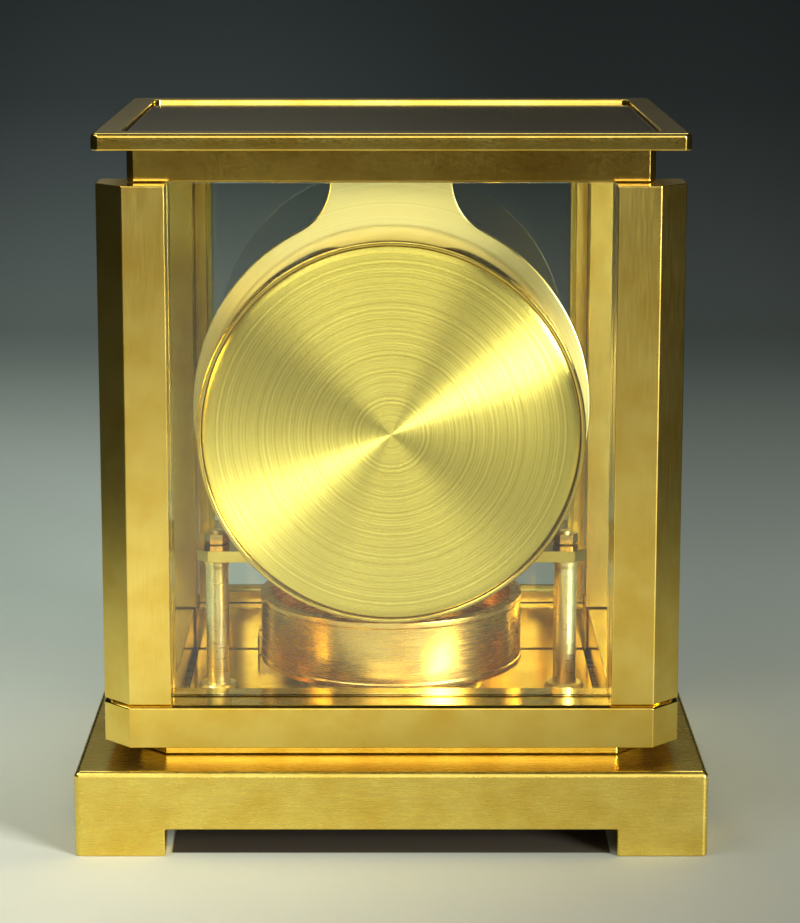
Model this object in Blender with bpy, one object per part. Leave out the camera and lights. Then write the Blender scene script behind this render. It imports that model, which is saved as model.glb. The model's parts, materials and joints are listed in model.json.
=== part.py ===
"""Atmospheric clock: a torsion-balance mantel clock in a gilt, glazed case.

Metres, +Z up. X runs to the right and Y from the rear, where the big capsule
drum shows, to the dial and the door. The origin is on the floor, under the
middle of the case. The balance hangs on the vertical line X = 0, Y = 0.
"""
import math

import bpy
import bmesh

# Shared fits and mesh fineness
GAP = 0.0003
OVERRUN = 0.0010
PIVOT_GAP = 0.0003
FINE_STEPS = 48
ROUND_STEPS = 32
SMALL_STEPS = 14
TINY_STEPS = 10
SMOOTH_ANGLE = math.radians(35)

# Plinth and its corner feet
PLINTH_WIDTH = 0.210
PLINTH_DEPTH = 0.165
PLINTH_TOP = 0.0292
PLINTH_CHAMFER = 0.0012
SKIRT_BOTTOM = 0.0092
FOOT_SIZE = 0.0300
SKIRT_WALL = 0.0100
PLINTH_SLAB = 0.0055

# Levelling feet inside the two front corners
LEVEL_FOOT_INSET_X = 0.0215
LEVEL_FOOT_INSET_Y = 0.0215
LEVEL_PAD_RADIUS = 0.0080
LEVEL_PAD_HEIGHT = 0.0030
LEVEL_PAD_LIFT = 0.0005
LEVEL_NUT_RADIUS = 0.0090
LEVEL_NUT_HEIGHT = 0.0035
LEVEL_NUT_GROOVES = 12
LEVEL_NUT_GROOVE_DEPTH = 0.0006
LEVEL_SCREW_RADIUS = 0.0030
LEVEL_SCREW_REACH = 0.0035

# Glazed case: bottom rail on a neck, four canted posts, frieze, top plate
CASE_WIDTH = 0.192
CASE_DEPTH = 0.149
CASE_CANT = 0.0090
NECK_SETBACK = 0.0110
NECK_TOP = 0.0350
RAIL_TOP = 0.0495
RAIL_CHAMFER = 0.0010
POST_FACE = 0.0230
RAIL_INNER_SETBACK = 0.0010
POST_TOP = 0.2227
FRIEZE_SETBACK = 0.0100
FRIEZE_CANT = 0.0020
FRIEZE_WALL = 0.0080
FRIEZE_HEIGHT = 0.0107
TOP_PLATE_OVERHANG = 0.0005
TOP_PLATE_CANT = 0.0020
TOP_PLATE_THICKNESS = 0.0056
TOP_PLATE_CHAMFER = 0.0008
TOP_RIM_WIDTH = 0.0090
TOP_LEDGE = 0.0030
TOP_LEDGE_HEIGHT = 0.0025
TOP_GLASS_THICKNESS = 0.0015

# Glass
GLASS_THICKNESS = 0.0025
GLASS_INSET = 0.00225
GROOVE_DEPTH = 0.0020
GLASS_CANT = 0.0005

# Front door, hinged on two pins at its +X edge
DOOR_THICKNESS = 0.0045
DOOR_STILE = 0.0060
DOOR_REBATE = 0.0020
DOOR_REBATE_DEPTH = 0.0023
DOOR_GLASS_THICKNESS = 0.0018
DOOR_PIN_RADIUS = 0.0008
DOOR_PIN_LENGTH = 0.0020
DOOR_PIN_INSET = 0.0020
DOOR_KNOB_RADIUS = 0.0036
DOOR_KNOB_NECK_RADIUS = 0.0016
DOOR_KNOB_INSET = 0.0040
DOOR_KNOB_LENGTH = 0.0090
DOOR_KNOB_NECK_LENGTH = 0.0035
DOOR_KNOB_ROUND = 0.0010

# Sole plate, columns and platform that carry the movement
SOLE_THICKNESS = 0.0040
SOLE_SETBACK = 0.0010
SOLE_CHAMFER = 0.0006
COLUMN_INSET = 0.0340
COLUMN_RADIUS = 0.00425
COLUMN_FLANGE_RADIUS = 0.0070
COLUMN_FLANGE_HEIGHT = 0.0025
COLUMN_SHOULDER_RADIUS = 0.0055
COLUMN_SHOULDER_HEIGHT = 0.0020
COLUMN_STUD_RADIUS = 0.0020
COLUMN_STUD_LENGTH = 0.0090
COLUMN_NUT_RADIUS = 0.0045
COLUMN_NUT_HEIGHT = 0.0035
NUT_SIDES = 6
PLATFORM_BOTTOM = 0.0833
PLATFORM_THICKNESS = 0.0040
PLATFORM_OVERHANG = 0.0065
PLATFORM_CANT = 0.0040
PLATFORM_SLOT_WIDTH = 0.0200
PLATFORM_SLOT_DEPTH = 0.0150

# Spirit level on the sole plate
LEVEL_X = -0.0380
LEVEL_Y = 0.0475
LEVEL_LENGTH = 0.0240
LEVEL_WIDTH = 0.0070
LEVEL_HEIGHT = 0.0070
VIAL_RADIUS = 0.0021
VIAL_LENGTH = 0.0190

# Balance lock: a lever that lifts a ring under the balance
LOCK_CLEARANCE = 0.0070
LOCK_THICKNESS = 0.0020
LOCK_LIFT_GAP = 0.0005
LOCK_WIDTH = 0.0040
LOCK_INNER_REACH = 0.0095
LOCK_OUTER_REACH = 0.0095
LOCK_KNOB_RADIUS = 0.0024
LOCK_KNOB_HEIGHT = 0.0110
LOCK_PIN_RADIUS = 0.0020
ARREST_OUTER_RADIUS = 0.0330
ARREST_WALL = 0.0050
ARREST_THICKNESS = 0.0030
ARREST_CLEARANCE = 0.0010
ARREST_LEG_RADIUS = 0.0015
ARREST_LEG_COUNT = 3

# Balance: heavy ring on a staff that hangs from the torsion wire
BALANCE_RADIUS = 0.0465
BALANCE_WALL = 0.0040
BALANCE_BOTTOM = 0.0464
BALANCE_HEIGHT = 0.0240
BALANCE_CHAMFER = 0.0008
BALANCE_ARMS = 4
BALANCE_ARM_WIDTH = 0.0060
BALANCE_ARM_THICKNESS = 0.0030
BALANCE_ARM_RISE = 0.0090
HUB_RADIUS = 0.0075
HUB_HEIGHT = 0.0090
HUB_RISE = 0.0060
STAFF_RADIUS = 0.0030
STAFF_COLLAR_RADIUS = 0.0050
STAFF_COLLAR_HEIGHT = 0.0018
STAFF_TIP_RADIUS = 0.0008
STAFF_TIP_LENGTH = 0.0080
STAFF_TIP_LIFT = 0.0025
ROLLER_RADIUS = 0.0062
ROLLER_RISE = 0.0030
ROLLER_THICKNESS = 0.0022
STAFF_NECK_RADIUS = 0.0015
STAFF_TOP = 0.0840
IMPULSE_PIN_RADIUS = 0.0006
IMPULSE_PIN_OFFSET = 0.0045
IMPULSE_PIN_TOP = 0.0791

# Torsion wire, its guard tube, head and rate lever
WIRE_RADIUS = 0.0003
WIRE_FOOT_RADIUS = 0.0012
WIRE_FOOT_HEIGHT = 0.0032
WIRE_HEAD_RADIUS = 0.0026
WIRE_HEAD_HEIGHT = 0.0030
TUBE_RADIUS = 0.0030
TUBE_WALL = 0.0011
TUBE_BOTTOM = 0.0885
HEAD_BOTTOM = 0.2090
HEAD_HEIGHT = 0.0060
HEAD_WIDTH = 0.0160
HEAD_FRONT = 0.0060
HEAD_BORE_RADIUS = 0.0009
HEAD_BOSS_RADIUS = 0.0040
HEAD_BOSS_HEIGHT = 0.0040
RATE_RING_WALL = 0.0020
RATE_THICKNESS = 0.0016
RATE_ARM_WIDTH = 0.0026
RATE_ARM_REACH = 0.0190

# Movement plates, all centred on the hand arbor
PALLET_RISE = 0.0132
MOUNT_REAR = -0.0130
MOUNT_THICKNESS = 0.0040
MOUNT_RADIUS = 0.0690
MOUNT_NECK_WIDTH = 0.0420
MOUNT_NECK_FILLET = 0.0200
MOUNT_NECK_TOP = 0.2220
MOUNT_BORE_RADIUS = 0.0050
BACK_PLATE_REAR = 0.0080
PLATE_THICKNESS = 0.0030
PLATE_RADIUS = 0.0600
TRAIN_SPACE = 0.0220
PILLAR_RADIUS = 0.0032
PILLAR_CIRCLE = 0.0520
PILLAR_ANGLES = [math.radians(angle) for angle in (10, 70, 322)]
SPACER_RADIUS = 0.0032
SPACER_CIRCLE = 0.0530
SPACER_ANGLES = [math.radians(angle) for angle in (40, 165)]

# Toothing, as shares of a gear's module and of its pitch
ADDENDUM_SHARE = 0.80
DEDENDUM_SHARE = 1.05
TIP_SHARE = 0.18
ROOT_SHARE = 0.50
WHEEL_THICKNESS = 0.0020
PINION_LENGTH = 0.0036
ARBOR_RADIUS = 0.0020
PIVOT_RADIUS = 0.0011
LAYER_GAP = 0.0012

# Going train: module and tooth counts, and where each arbor lies
BARREL_MODULE = 0.00120
BARREL_TEETH = 36
INTERMEDIATE_PINION_TEETH = 9
INTERMEDIATE_MODULE = 0.00100
INTERMEDIATE_TEETH = 36
CENTRE_PINION_TEETH = 9
CENTRE_MODULE = 0.00100
CENTRE_TEETH = 36
ESCAPE_PINION_TEETH = 9
INTERMEDIATE_DIRECTION = math.radians(200)
BARREL_DIRECTION = math.radians(90)
ESCAPE_DIRECTION = math.radians(270)
PALLET_DIRECTION = math.radians(270)

# Barrel, its mainspring and winding arbor
BARREL_DRUM_RADIUS = 0.0190
BARREL_LENGTH = 0.0085
BARREL_WALL = 0.0012
BARREL_ARBOR_RADIUS = 0.0030
MAINSPRING_THICKNESS = 0.0006
MAINSPRING_HEIGHT_SHARE = 0.80
MAINSPRING_TURNS = 6
MAINSPRING_STEPS = 14
MAINSPRING_INNER_GAP = 0.0012
MAINSPRING_OUTER_GAP = 0.0012
PULLEY_RADIUS = 0.0085
PULLEY_WALL = 0.0012
PULLEY_GROOVE_DEPTH = 0.0016
PULLEY_GROOVE_WIDTH = 0.0018
PULLEY_LIFT = 0.0014

# Escapement
ESCAPE_TEETH = 15
ESCAPE_RADIUS = 0.0110
ESCAPE_TOOTH_DEPTH = 0.0026
ESCAPE_FACE_SHARE = 0.10
ESCAPE_BACK_SHARE = 0.45
PALLET_PIVOT_DROP = 0.0160
PALLET_CLEARANCE = 0.0004
PALLET_SPAN_TEETH = 3
PALLET_HUB_RADIUS = 0.0030
PALLET_STONE_WIDTH = 0.0016
PALLET_ARM_WIDTH = 0.0022
FORK_THICKNESS = 0.0016
FORK_CENTRE_Y = 0.0052
FORK_STEM_WIDTH = 0.0024
FORK_HEAD_WIDTH = 0.0058
FORK_HEAD_HEIGHT = 0.0042
FORK_SLOT_WIDTH = 0.0022
FORK_SLOT_DEPTH = 0.0026
FORK_TIP_CLEARANCE = 0.0004

# Motion work under the dial
CANNON_TEETH = 8
MINUTE_WHEEL_TEETH = 24
MINUTE_MODULE = 0.00125
MINUTE_PINION_TEETH = 8
HOUR_TEETH = 32
HOUR_MODULE = 0.00100
MOTION_DIRECTION = math.radians(335)
HOUR_PIPE_WALL = 0.0010

# Dial and hands
DIAL_REAR = 0.0460
DIAL_THICKNESS = 0.0016
DIAL_RADIUS = 0.0580
DIAL_INNER_RADIUS = 0.0360
DIAL_FOOT_RADIUS = 0.0012
DIAL_FOOT_CIRCLE = 0.0500
DIAL_FOOT_ANGLES = [math.radians(angle) for angle in (45, 165, 285)]
MARKER_COUNT = 12
MARKER_WIDTH = 0.0018
MARKER_OUTER_RADIUS = 0.0545
MARKER_LENGTH = 0.0110
MARKER_HEIGHT = 0.0006
HOUR_HAND_REAR = 0.0496
HAND_THICKNESS = 0.0009
HAND_HUB_RADIUS = 0.0050
HOUR_HAND_LENGTH = 0.0330
HOUR_HAND_WIDTH = 0.0042
MINUTE_HAND_LENGTH = 0.0490
MINUTE_HAND_WIDTH = 0.0032
HAND_TAIL_LENGTH = 0.0110
HAND_TIP_WIDTH = 0.0010
HAND_LAYER_GAP = 0.0012
HOUR_HAND_ANGLE = math.radians(146)
MINUTE_HAND_ANGLE = math.radians(40)
CENTRE_NUT_RADIUS = 0.0022
CENTRE_NUT_LENGTH = 0.0016

# Capsule drum behind the movement, and what it holds
DRUM_FACE = -0.0570
DRUM_HEIGHT = 0.1380
DRUM_RADIUS = 0.0648
DRUM_WALL = 0.0016
DRUM_LIP_ROUND = 0.0010
DRUM_COVER_RECESS = 0.0006
DRUM_COVER_THICKNESS = 0.0015
DRUM_COVER_CROWN = 0.0006
DRUM_COVER_LEDGE = 0.0012
DRUM_PORT_RADIUS = 0.0060
BELLOWS_RADIUS = 0.0560
BELLOWS_LENGTH = 0.0205
BELLOWS_FOLDS = 5
BELLOWS_FOLD_DEPTH = 0.0060
BELLOWS_END_RADIUS = 0.0300
PUSHER_RADIUS = 0.0140
PUSHER_THICKNESS = 0.0016
PUSHER_BOSS_RADIUS = 0.0030
PUSHER_BOSS_LENGTH = 0.0035
RETURN_WIRE_RADIUS = 0.0007
RETURN_COIL_RADIUS = 0.0095
RETURN_TURNS = 5
RETURN_STEPS = 9
CHAIN_RADIUS = 0.0006
CHAIN_BEND_RADIUS = 0.0030
CHAIN_BEND_STEPS = 6
CHAIN_WRAP = math.radians(110)
CHAIN_WRAP_STEPS = 10
CHAIN_RUN_STEPS = 5

scene = bpy.context.scene
for leftover in list(bpy.data.objects):
    bpy.data.objects.remove(leftover)


# Places that several pieces follow
column_x = CASE_WIDTH / 2 - COLUMN_INSET
lock_pivot_y = ARREST_OUTER_RADIUS + LOCK_CLEARANCE
platform_top = PLATFORM_BOTTOM + PLATFORM_THICKNESS
escape_mesh = CENTRE_MODULE * (CENTRE_TEETH + ESCAPE_PINION_TEETH) / 2
centre_height = platform_top + PALLET_RISE + PALLET_PIVOT_DROP + escape_mesh


# Outlines, as lists of (u, v) points running anticlockwise

def circle(radius, steps, centre=(0, 0), turn=0.0):
    """Round outline of evenly spaced points."""
    angles = [turn + math.tau * step / steps for step in range(steps)]
    return [(centre[0] + radius * math.cos(a), centre[1] + radius * math.sin(a)) for a in angles]


def rectangle(left, right, low, high):
    """Plain four-cornered outline."""
    return [(left, low), (right, low), (right, high), (left, high)]


def canted(half_u, half_v, cant):
    """Rectangle with its four corners cut at 45 degrees."""
    return [(half_u, -half_v + cant), (half_u, half_v - cant), (half_u - cant, half_v),
            (-half_u + cant, half_v), (-half_u, half_v - cant), (-half_u, -half_v + cant),
            (-half_u + cant, -half_v), (half_u - cant, -half_v)]


def polar(centre, distance, direction):
    """Point at a distance and a direction from a centre."""
    return (centre[0] + distance * math.cos(direction), centre[1] + distance * math.sin(direction))


def bar(start, end, width):
    """Straight strip of a given width between two points."""
    along = math.atan2(end[1] - start[1], end[0] - start[0])
    side = math.radians(90)
    half = width / 2
    return [polar(start, half, along - side), polar(end, half, along - side),
            polar(end, half, along + side), polar(start, half, along + side)]


def toothed(teeth, module, centre, phase):
    """Gear outline: a flat-topped tooth centred on the phase angle, then evenly round."""
    pitch_radius = teeth * module / 2
    root = pitch_radius - DEDENDUM_SHARE * module
    tip = pitch_radius + ADDENDUM_SHARE * module
    pitch = math.tau / teeth
    corners = [(root, -ROOT_SHARE), (tip, -TIP_SHARE), (tip, TIP_SHARE), (root, ROOT_SHARE)]
    return [polar(centre, radius, phase + pitch * (tooth + share / 2))
            for tooth in range(teeth) for radius, share in corners]


def ratchet_toothed(teeth, radius, depth, centre, phase):
    """Escape wheel outline: pointed teeth with a steep face and a long back."""
    pitch = math.tau / teeth
    corners = [(radius - depth, 0.0), (radius, ESCAPE_FACE_SHARE), (radius - depth, ESCAPE_BACK_SHARE)]
    return [polar(centre, distance, phase + pitch * (tooth + share))
            for tooth in range(teeth) for distance, share in corners]


# Solids, as meshes in world coordinates

def finished(vertices, faces):
    """Mesh with all its faces turned outwards."""
    mesh = bpy.data.meshes.new("solid")
    mesh.from_pydata(vertices, [], faces)
    shape = bmesh.new()
    shape.from_mesh(mesh)
    bmesh.ops.recalc_face_normals(shape, faces=shape.faces)
    shape.to_mesh(mesh)
    shape.free()
    return mesh


def lofted(loops, ring=False):
    """Solid through loops of equally many points: capped at its ends, or closed on itself as a ring."""
    count = len(loops[0])
    vertices = [point for loop in loops for point in loop]
    spans = len(loops) if ring else len(loops) - 1
    faces = []
    for span in range(spans):
        low = span * count
        high = (span + 1) % len(loops) * count
        for step in range(count):
            after = (step + 1) % count
            faces.append((low + step, low + after, high + after, high + step))
    if not ring:
        faces.append(tuple(range(count)))
        faces.append(tuple((len(loops) - 1) * count + step for step in range(count)))
    return finished(vertices, faces)


def upright(outline, height):
    """Points of an (x, y) outline at one height."""
    return [(u, v, height) for u, v in outline]


def facing(outline, depth):
    """Points of an (x, z) outline at one depth along Y."""
    return [(u, depth, v) for u, v in outline]


def extruded(outline, start, end, place=facing):
    """Prism of an outline between two heights or depths."""
    return lofted([place(outline, start), place(outline, end)])


def turned(profile, centre, place=facing, steps=SMALL_STEPS, ring=False):
    """Lathe work: (radius, position) points turned about an axis; radius zero closes on the axis."""
    loops = []
    vertices = []
    for radius, position in profile:
        if radius > 0:
            points = place(circle(radius, steps, centre), position)
        else:
            points = place([centre], position)
        loops.append(list(range(len(vertices), len(vertices) + len(points))))
        vertices.extend(points)
    faces = []
    spans = len(loops) if ring else len(loops) - 1
    for span in range(spans):
        low = loops[span]
        high = loops[(span + 1) % len(loops)]
        for step in range(steps):
            after = (step + 1) % steps
            corners = [low[step % len(low)], low[after % len(low)],
                       high[after % len(high)], high[step % len(high)]]
            faces.append(tuple(dict.fromkeys(corners)))
    if not ring:
        faces.extend(tuple(loop) for loop in (loops[0], loops[-1]) if len(loop) > 1)
    return finished(vertices, faces)


def pin(radius, start, end, centre, place=facing, steps=SMALL_STEPS):
    """Plain round rod."""
    return extruded(circle(radius, steps, centre), start, end, place)


def combined(base, joined=(), cut=()):
    """Base solid with further solids joined on, then others cut away."""
    body = bpy.data.objects.new("body", base)
    scene.collection.objects.link(body)
    tools = []
    for operation, solids in (("UNION", joined), ("DIFFERENCE", cut)):
        for solid in solids:
            tool = bpy.data.objects.new("tool", solid)
            scene.collection.objects.link(tool)
            step = body.modifiers.new(operation.lower(), "BOOLEAN")
            step.operation = operation
            step.object = tool
            tools.append(tool)
    graph = bpy.context.evaluated_depsgraph_get()
    result = bpy.data.meshes.new_from_object(body.evaluated_get(graph))
    for helper in tools + [body]:
        bpy.data.objects.remove(helper)
    return result


def finish_of(name, colour, roughness, metallic, alpha=1.0):
    """Surface finish shared by the pieces of one material."""
    material = bpy.data.materials.new(name)
    material.use_nodes = True
    shader = material.node_tree.nodes["Principled BSDF"]
    shader.inputs["Base Color"].default_value = (*colour, 1.0)
    shader.inputs["Roughness"].default_value = roughness
    shader.inputs["Metallic"].default_value = metallic
    shader.inputs["Alpha"].default_value = alpha
    return material


GILT = finish_of("gilt_brass", (0.80, 0.55, 0.16), 0.18, 1.0)
BRUSHED_GILT = finish_of("circular_brushed_gilt", (0.78, 0.60, 0.20), 0.30, 1.0)
COPPER_GILT = finish_of("rose_gilt", (0.82, 0.42, 0.20), 0.16, 1.0)
BRASS = finish_of("brass", (0.70, 0.50, 0.20), 0.30, 1.0)
STEEL = finish_of("polished_steel", (0.60, 0.60, 0.60), 0.25, 1.0)
BLUED_STEEL = finish_of("spring_steel", (0.20, 0.22, 0.28), 0.30, 1.0)
CLEAR_GLASS = finish_of("clear_glass", (0.85, 0.90, 0.88), 0.02, 0.0, 0.25)
DARK_GLASS = finish_of("dark_glass", (0.02, 0.025, 0.02), 0.03, 0.0, 0.80)
WHITE_ENAMEL = finish_of("white_enamel", (0.85, 0.83, 0.76), 0.35, 0.0)
GREEN_SPIRIT = finish_of("level_spirit", (0.50, 0.75, 0.15), 0.05, 0.0, 0.60)


def add_piece(name, mesh, material, origin=(0.0, 0.0, 0.0), carrier=None):
    """One sub-part, with its origin on its joint's axis, and smooth where it is round."""
    for vertex in mesh.vertices:
        vertex.co = [value - offset for value, offset in zip(vertex.co, origin)]
    mesh.materials.clear()
    mesh.materials.append(material)
    mesh.shade_smooth()
    mesh.set_sharp_from_angle(angle=SMOOTH_ANGLE)
    piece = bpy.data.objects.new(name, mesh)
    scene.collection.objects.link(piece)
    if carrier is None:
        piece.location = origin
    else:
        piece.parent = carrier
        piece.location = [value - offset for value, offset in zip(origin, carrier.location)]
    return piece


# Plinth, with levelling feet under its front corners

half_plinth_x = PLINTH_WIDTH / 2
half_plinth_y = PLINTH_DEPTH / 2
foot_x = half_plinth_x - LEVEL_FOOT_INSET_X
foot_y = half_plinth_y - LEVEL_FOOT_INSET_Y
slab_bottom = PLINTH_TOP - PLINTH_SLAB
socket_top = slab_bottom + LEVEL_SCREW_REACH

plinth_block = lofted([
    upright(canted(half_plinth_x, half_plinth_y, PLINTH_CHAMFER), 0.0),
    upright(canted(half_plinth_x, half_plinth_y, PLINTH_CHAMFER), PLINTH_TOP - PLINTH_CHAMFER),
    upright(canted(half_plinth_x - PLINTH_CHAMFER, half_plinth_y - PLINTH_CHAMFER, PLINTH_CHAMFER),
            PLINTH_TOP)])
gap_x = half_plinth_x - FOOT_SIZE
gap_y = half_plinth_y - FOOT_SIZE
plinth_cuts = [
    extruded(rectangle(-gap_x, gap_x, -half_plinth_y - OVERRUN, half_plinth_y + OVERRUN),
             -OVERRUN, SKIRT_BOTTOM, upright),
    extruded(rectangle(-half_plinth_x - OVERRUN, half_plinth_x + OVERRUN, -gap_y, gap_y),
             -OVERRUN, SKIRT_BOTTOM, upright),
    extruded(rectangle(SKIRT_WALL - half_plinth_x, half_plinth_x - SKIRT_WALL,
                       SKIRT_WALL - half_plinth_y, half_plinth_y - SKIRT_WALL),
             -OVERRUN, slab_bottom, upright)]
for side in (-1, 1):
    plinth_cuts.append(pin(LEVEL_SCREW_RADIUS + PIVOT_GAP, slab_bottom - OVERRUN, socket_top + PIVOT_GAP,
                           (side * foot_x, foot_y), upright))
add_piece("plinth", combined(plinth_block, cut=plinth_cuts), GILT)

pad_top = LEVEL_PAD_LIFT + LEVEL_PAD_HEIGHT
nut_top = pad_top + LEVEL_NUT_HEIGHT + LAYER_GAP
for side, label in ((-1, "left"), (1, "right")):
    axis_point = (side * foot_x, foot_y)
    knurl = [polar(axis_point, LEVEL_NUT_RADIUS - LEVEL_NUT_GROOVE_DEPTH * (point % 2),
                   math.pi * point / LEVEL_NUT_GROOVES) for point in range(2 * LEVEL_NUT_GROOVES)]
    foot = combined(pin(LEVEL_SCREW_RADIUS, pad_top - OVERRUN, socket_top, axis_point, upright), joined=[
        pin(LEVEL_PAD_RADIUS, LEVEL_PAD_LIFT, pad_top, axis_point, upright),
        extruded(knurl, nut_top - LEVEL_NUT_HEIGHT, nut_top, upright)])
    add_piece("levelling_foot_" + label, foot, BRASS, (*axis_point, LEVEL_PAD_LIFT))

# Case frame

half_case_x = CASE_WIDTH / 2
half_case_y = CASE_DEPTH / 2
opening_x = half_case_x - POST_FACE + RAIL_INNER_SETBACK
opening_y = half_case_y - POST_FACE + RAIL_INNER_SETBACK
rail_bottom = PLINTH_TOP + GAP
post_bottom = RAIL_TOP + GAP
frieze_bottom = POST_TOP + GAP
frieze_top = frieze_bottom + FRIEZE_HEIGHT
top_plate_bottom = frieze_top + GAP
top_plate_top = top_plate_bottom + TOP_PLATE_THICKNESS
half_neck_x = half_case_x - NECK_SETBACK
half_neck_y = half_case_y - NECK_SETBACK
half_frieze_x = half_case_x - FRIEZE_SETBACK
half_frieze_y = half_case_y - FRIEZE_SETBACK
glass_x = half_frieze_x - GLASS_INSET
glass_y = half_frieze_y - GLASS_INSET
half_glass = GLASS_THICKNESS / 2

door_front = half_frieze_y - GAP
door_back = door_front - DOOR_THICKNESS
door_edge = half_case_x - POST_FACE - GAP
door_pin_x = door_edge - DOOR_PIN_INSET
door_pin_y = door_front - DOOR_THICKNESS / 2
pin_hole_radius = DOOR_PIN_RADIUS + PIVOT_GAP

bottom_rail = lofted([
    upright(canted(half_neck_x, half_neck_y, CASE_CANT), rail_bottom),
    upright(canted(half_neck_x, half_neck_y, CASE_CANT), NECK_TOP),
    upright(canted(half_case_x, half_case_y, CASE_CANT), NECK_TOP),
    upright(canted(half_case_x, half_case_y, CASE_CANT), RAIL_TOP - RAIL_CHAMFER),
    upright(canted(half_case_x - RAIL_CHAMFER, half_case_y - RAIL_CHAMFER, CASE_CANT), RAIL_TOP),
    upright(canted(opening_x, opening_y, GLASS_CANT), RAIL_TOP),
    upright(canted(opening_x, opening_y, GLASS_CANT), rail_bottom)], ring=True)
add_piece("bottom_rail", combined(bottom_rail, cut=[
    pin(pin_hole_radius, RAIL_TOP - DOOR_PIN_LENGTH - GAP, RAIL_TOP + OVERRUN, (door_pin_x, door_pin_y),
        upright, TINY_STEPS)]), GILT)


def post_outline(side_x, side_y, rear):
    """Canted square post with a groove for each glass that it holds."""
    outer_x = half_case_x
    outer_y = half_case_y
    inner_x = outer_x - POST_FACE
    inner_y = outer_y - POST_FACE
    groove = half_glass + GAP
    points = [(outer_x - CASE_CANT, outer_y), (outer_x, outer_y - CASE_CANT), (outer_x, inner_y),
              (glass_x + groove, inner_y), (glass_x + groove, inner_y + GROOVE_DEPTH),
              (glass_x - groove, inner_y + GROOVE_DEPTH), (glass_x - groove, inner_y), (inner_x, inner_y)]
    if rear:
        points += [(inner_x, glass_y - groove), (inner_x + GROOVE_DEPTH, glass_y - groove),
                   (inner_x + GROOVE_DEPTH, glass_y + groove), (inner_x, glass_y + groove)]
    points.append((inner_x, outer_y))
    return [(side_x * u, side_y * v) for u, v in points]


for side_y, row in ((-1, "rear"), (1, "front")):
    for side_x, column in ((-1, "left"), (1, "right")):
        add_piece("post_" + row + "_" + column,
                  extruded(post_outline(side_x, side_y, side_y < 0), post_bottom, POST_TOP, upright), GILT)

frieze = lofted([
    upright(canted(half_frieze_x, half_frieze_y, FRIEZE_CANT), frieze_bottom),
    upright(canted(half_frieze_x, half_frieze_y, FRIEZE_CANT), frieze_top),
    upright(canted(half_frieze_x - FRIEZE_WALL, half_frieze_y - FRIEZE_WALL, FRIEZE_CANT), frieze_top),
    upright(canted(half_frieze_x - FRIEZE_WALL, half_frieze_y - FRIEZE_WALL, FRIEZE_CANT), frieze_bottom)],
    ring=True)
add_piece("frieze", combined(frieze, cut=[
    pin(pin_hole_radius, frieze_bottom - OVERRUN, frieze_bottom + DOOR_PIN_LENGTH + GAP,
        (door_pin_x, door_pin_y), upright, TINY_STEPS)]), GILT)

half_top_x = half_case_x + TOP_PLATE_OVERHANG
half_top_y = half_case_y + TOP_PLATE_OVERHANG
ledge_top = top_plate_bottom + TOP_LEDGE_HEIGHT
pane_x = half_top_x - TOP_RIM_WIDTH
pane_y = half_top_y - TOP_RIM_WIDTH
top_loops = [
    (half_top_x, half_top_y, top_plate_bottom),
    (half_top_x, half_top_y, top_plate_top - TOP_PLATE_CHAMFER),
    (half_top_x - TOP_PLATE_CHAMFER, half_top_y - TOP_PLATE_CHAMFER, top_plate_top),
    (pane_x, pane_y, top_plate_top),
    (pane_x, pane_y, ledge_top),
    (pane_x - TOP_LEDGE, pane_y - TOP_LEDGE, ledge_top),
    (pane_x - TOP_LEDGE, pane_y - TOP_LEDGE, top_plate_bottom)]
add_piece("top_plate", lofted([upright(canted(u, v, TOP_PLATE_CANT), z) for u, v, z in top_loops],
                              ring=True), GILT)


def pane(half_u, half_v, low, high, place):
    """Glass sheet with its edges ground off at the corners."""
    return extruded(canted(half_u, half_v, GLASS_CANT), low, high, place)


def shifted(mesh, offset):
    """The same solid moved by an offset."""
    for vertex in mesh.vertices:
        vertex.co = [value + step for value, step in zip(vertex.co, offset)]
    return mesh


def sideways(outline, place_x):
    """Points of a (y, z) outline at one X."""
    return [(place_x, u, v) for u, v in outline]


top_glass_bottom = ledge_top + GAP
add_piece("top_glass", extruded(canted(pane_x - GAP, pane_y - GAP, TOP_PLATE_CANT), top_glass_bottom,
                                top_glass_bottom + TOP_GLASS_THICKNESS, upright), DARK_GLASS)
glass_half_height = (POST_TOP - post_bottom) / 2
glass_middle = (POST_TOP + post_bottom) / 2
rear_half_width = half_case_x - POST_FACE + GROOVE_DEPTH - GAP
side_half_width = half_case_y - POST_FACE + GROOVE_DEPTH - GAP
add_piece("glass_rear", shifted(pane(rear_half_width, glass_half_height, -glass_y - half_glass,
                                     -glass_y + half_glass, facing), (0, 0, glass_middle)), CLEAR_GLASS)
for side, label in ((-1, "left"), (1, "right")):
    add_piece("glass_" + label, shifted(pane(side_half_width, glass_half_height, side * glass_x - half_glass,
                                             side * glass_x + half_glass, sideways), (0, 0, glass_middle)),
              CLEAR_GLASS)

# Front door: frame on two pins, glass in its rebate, knob on the far stile

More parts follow.
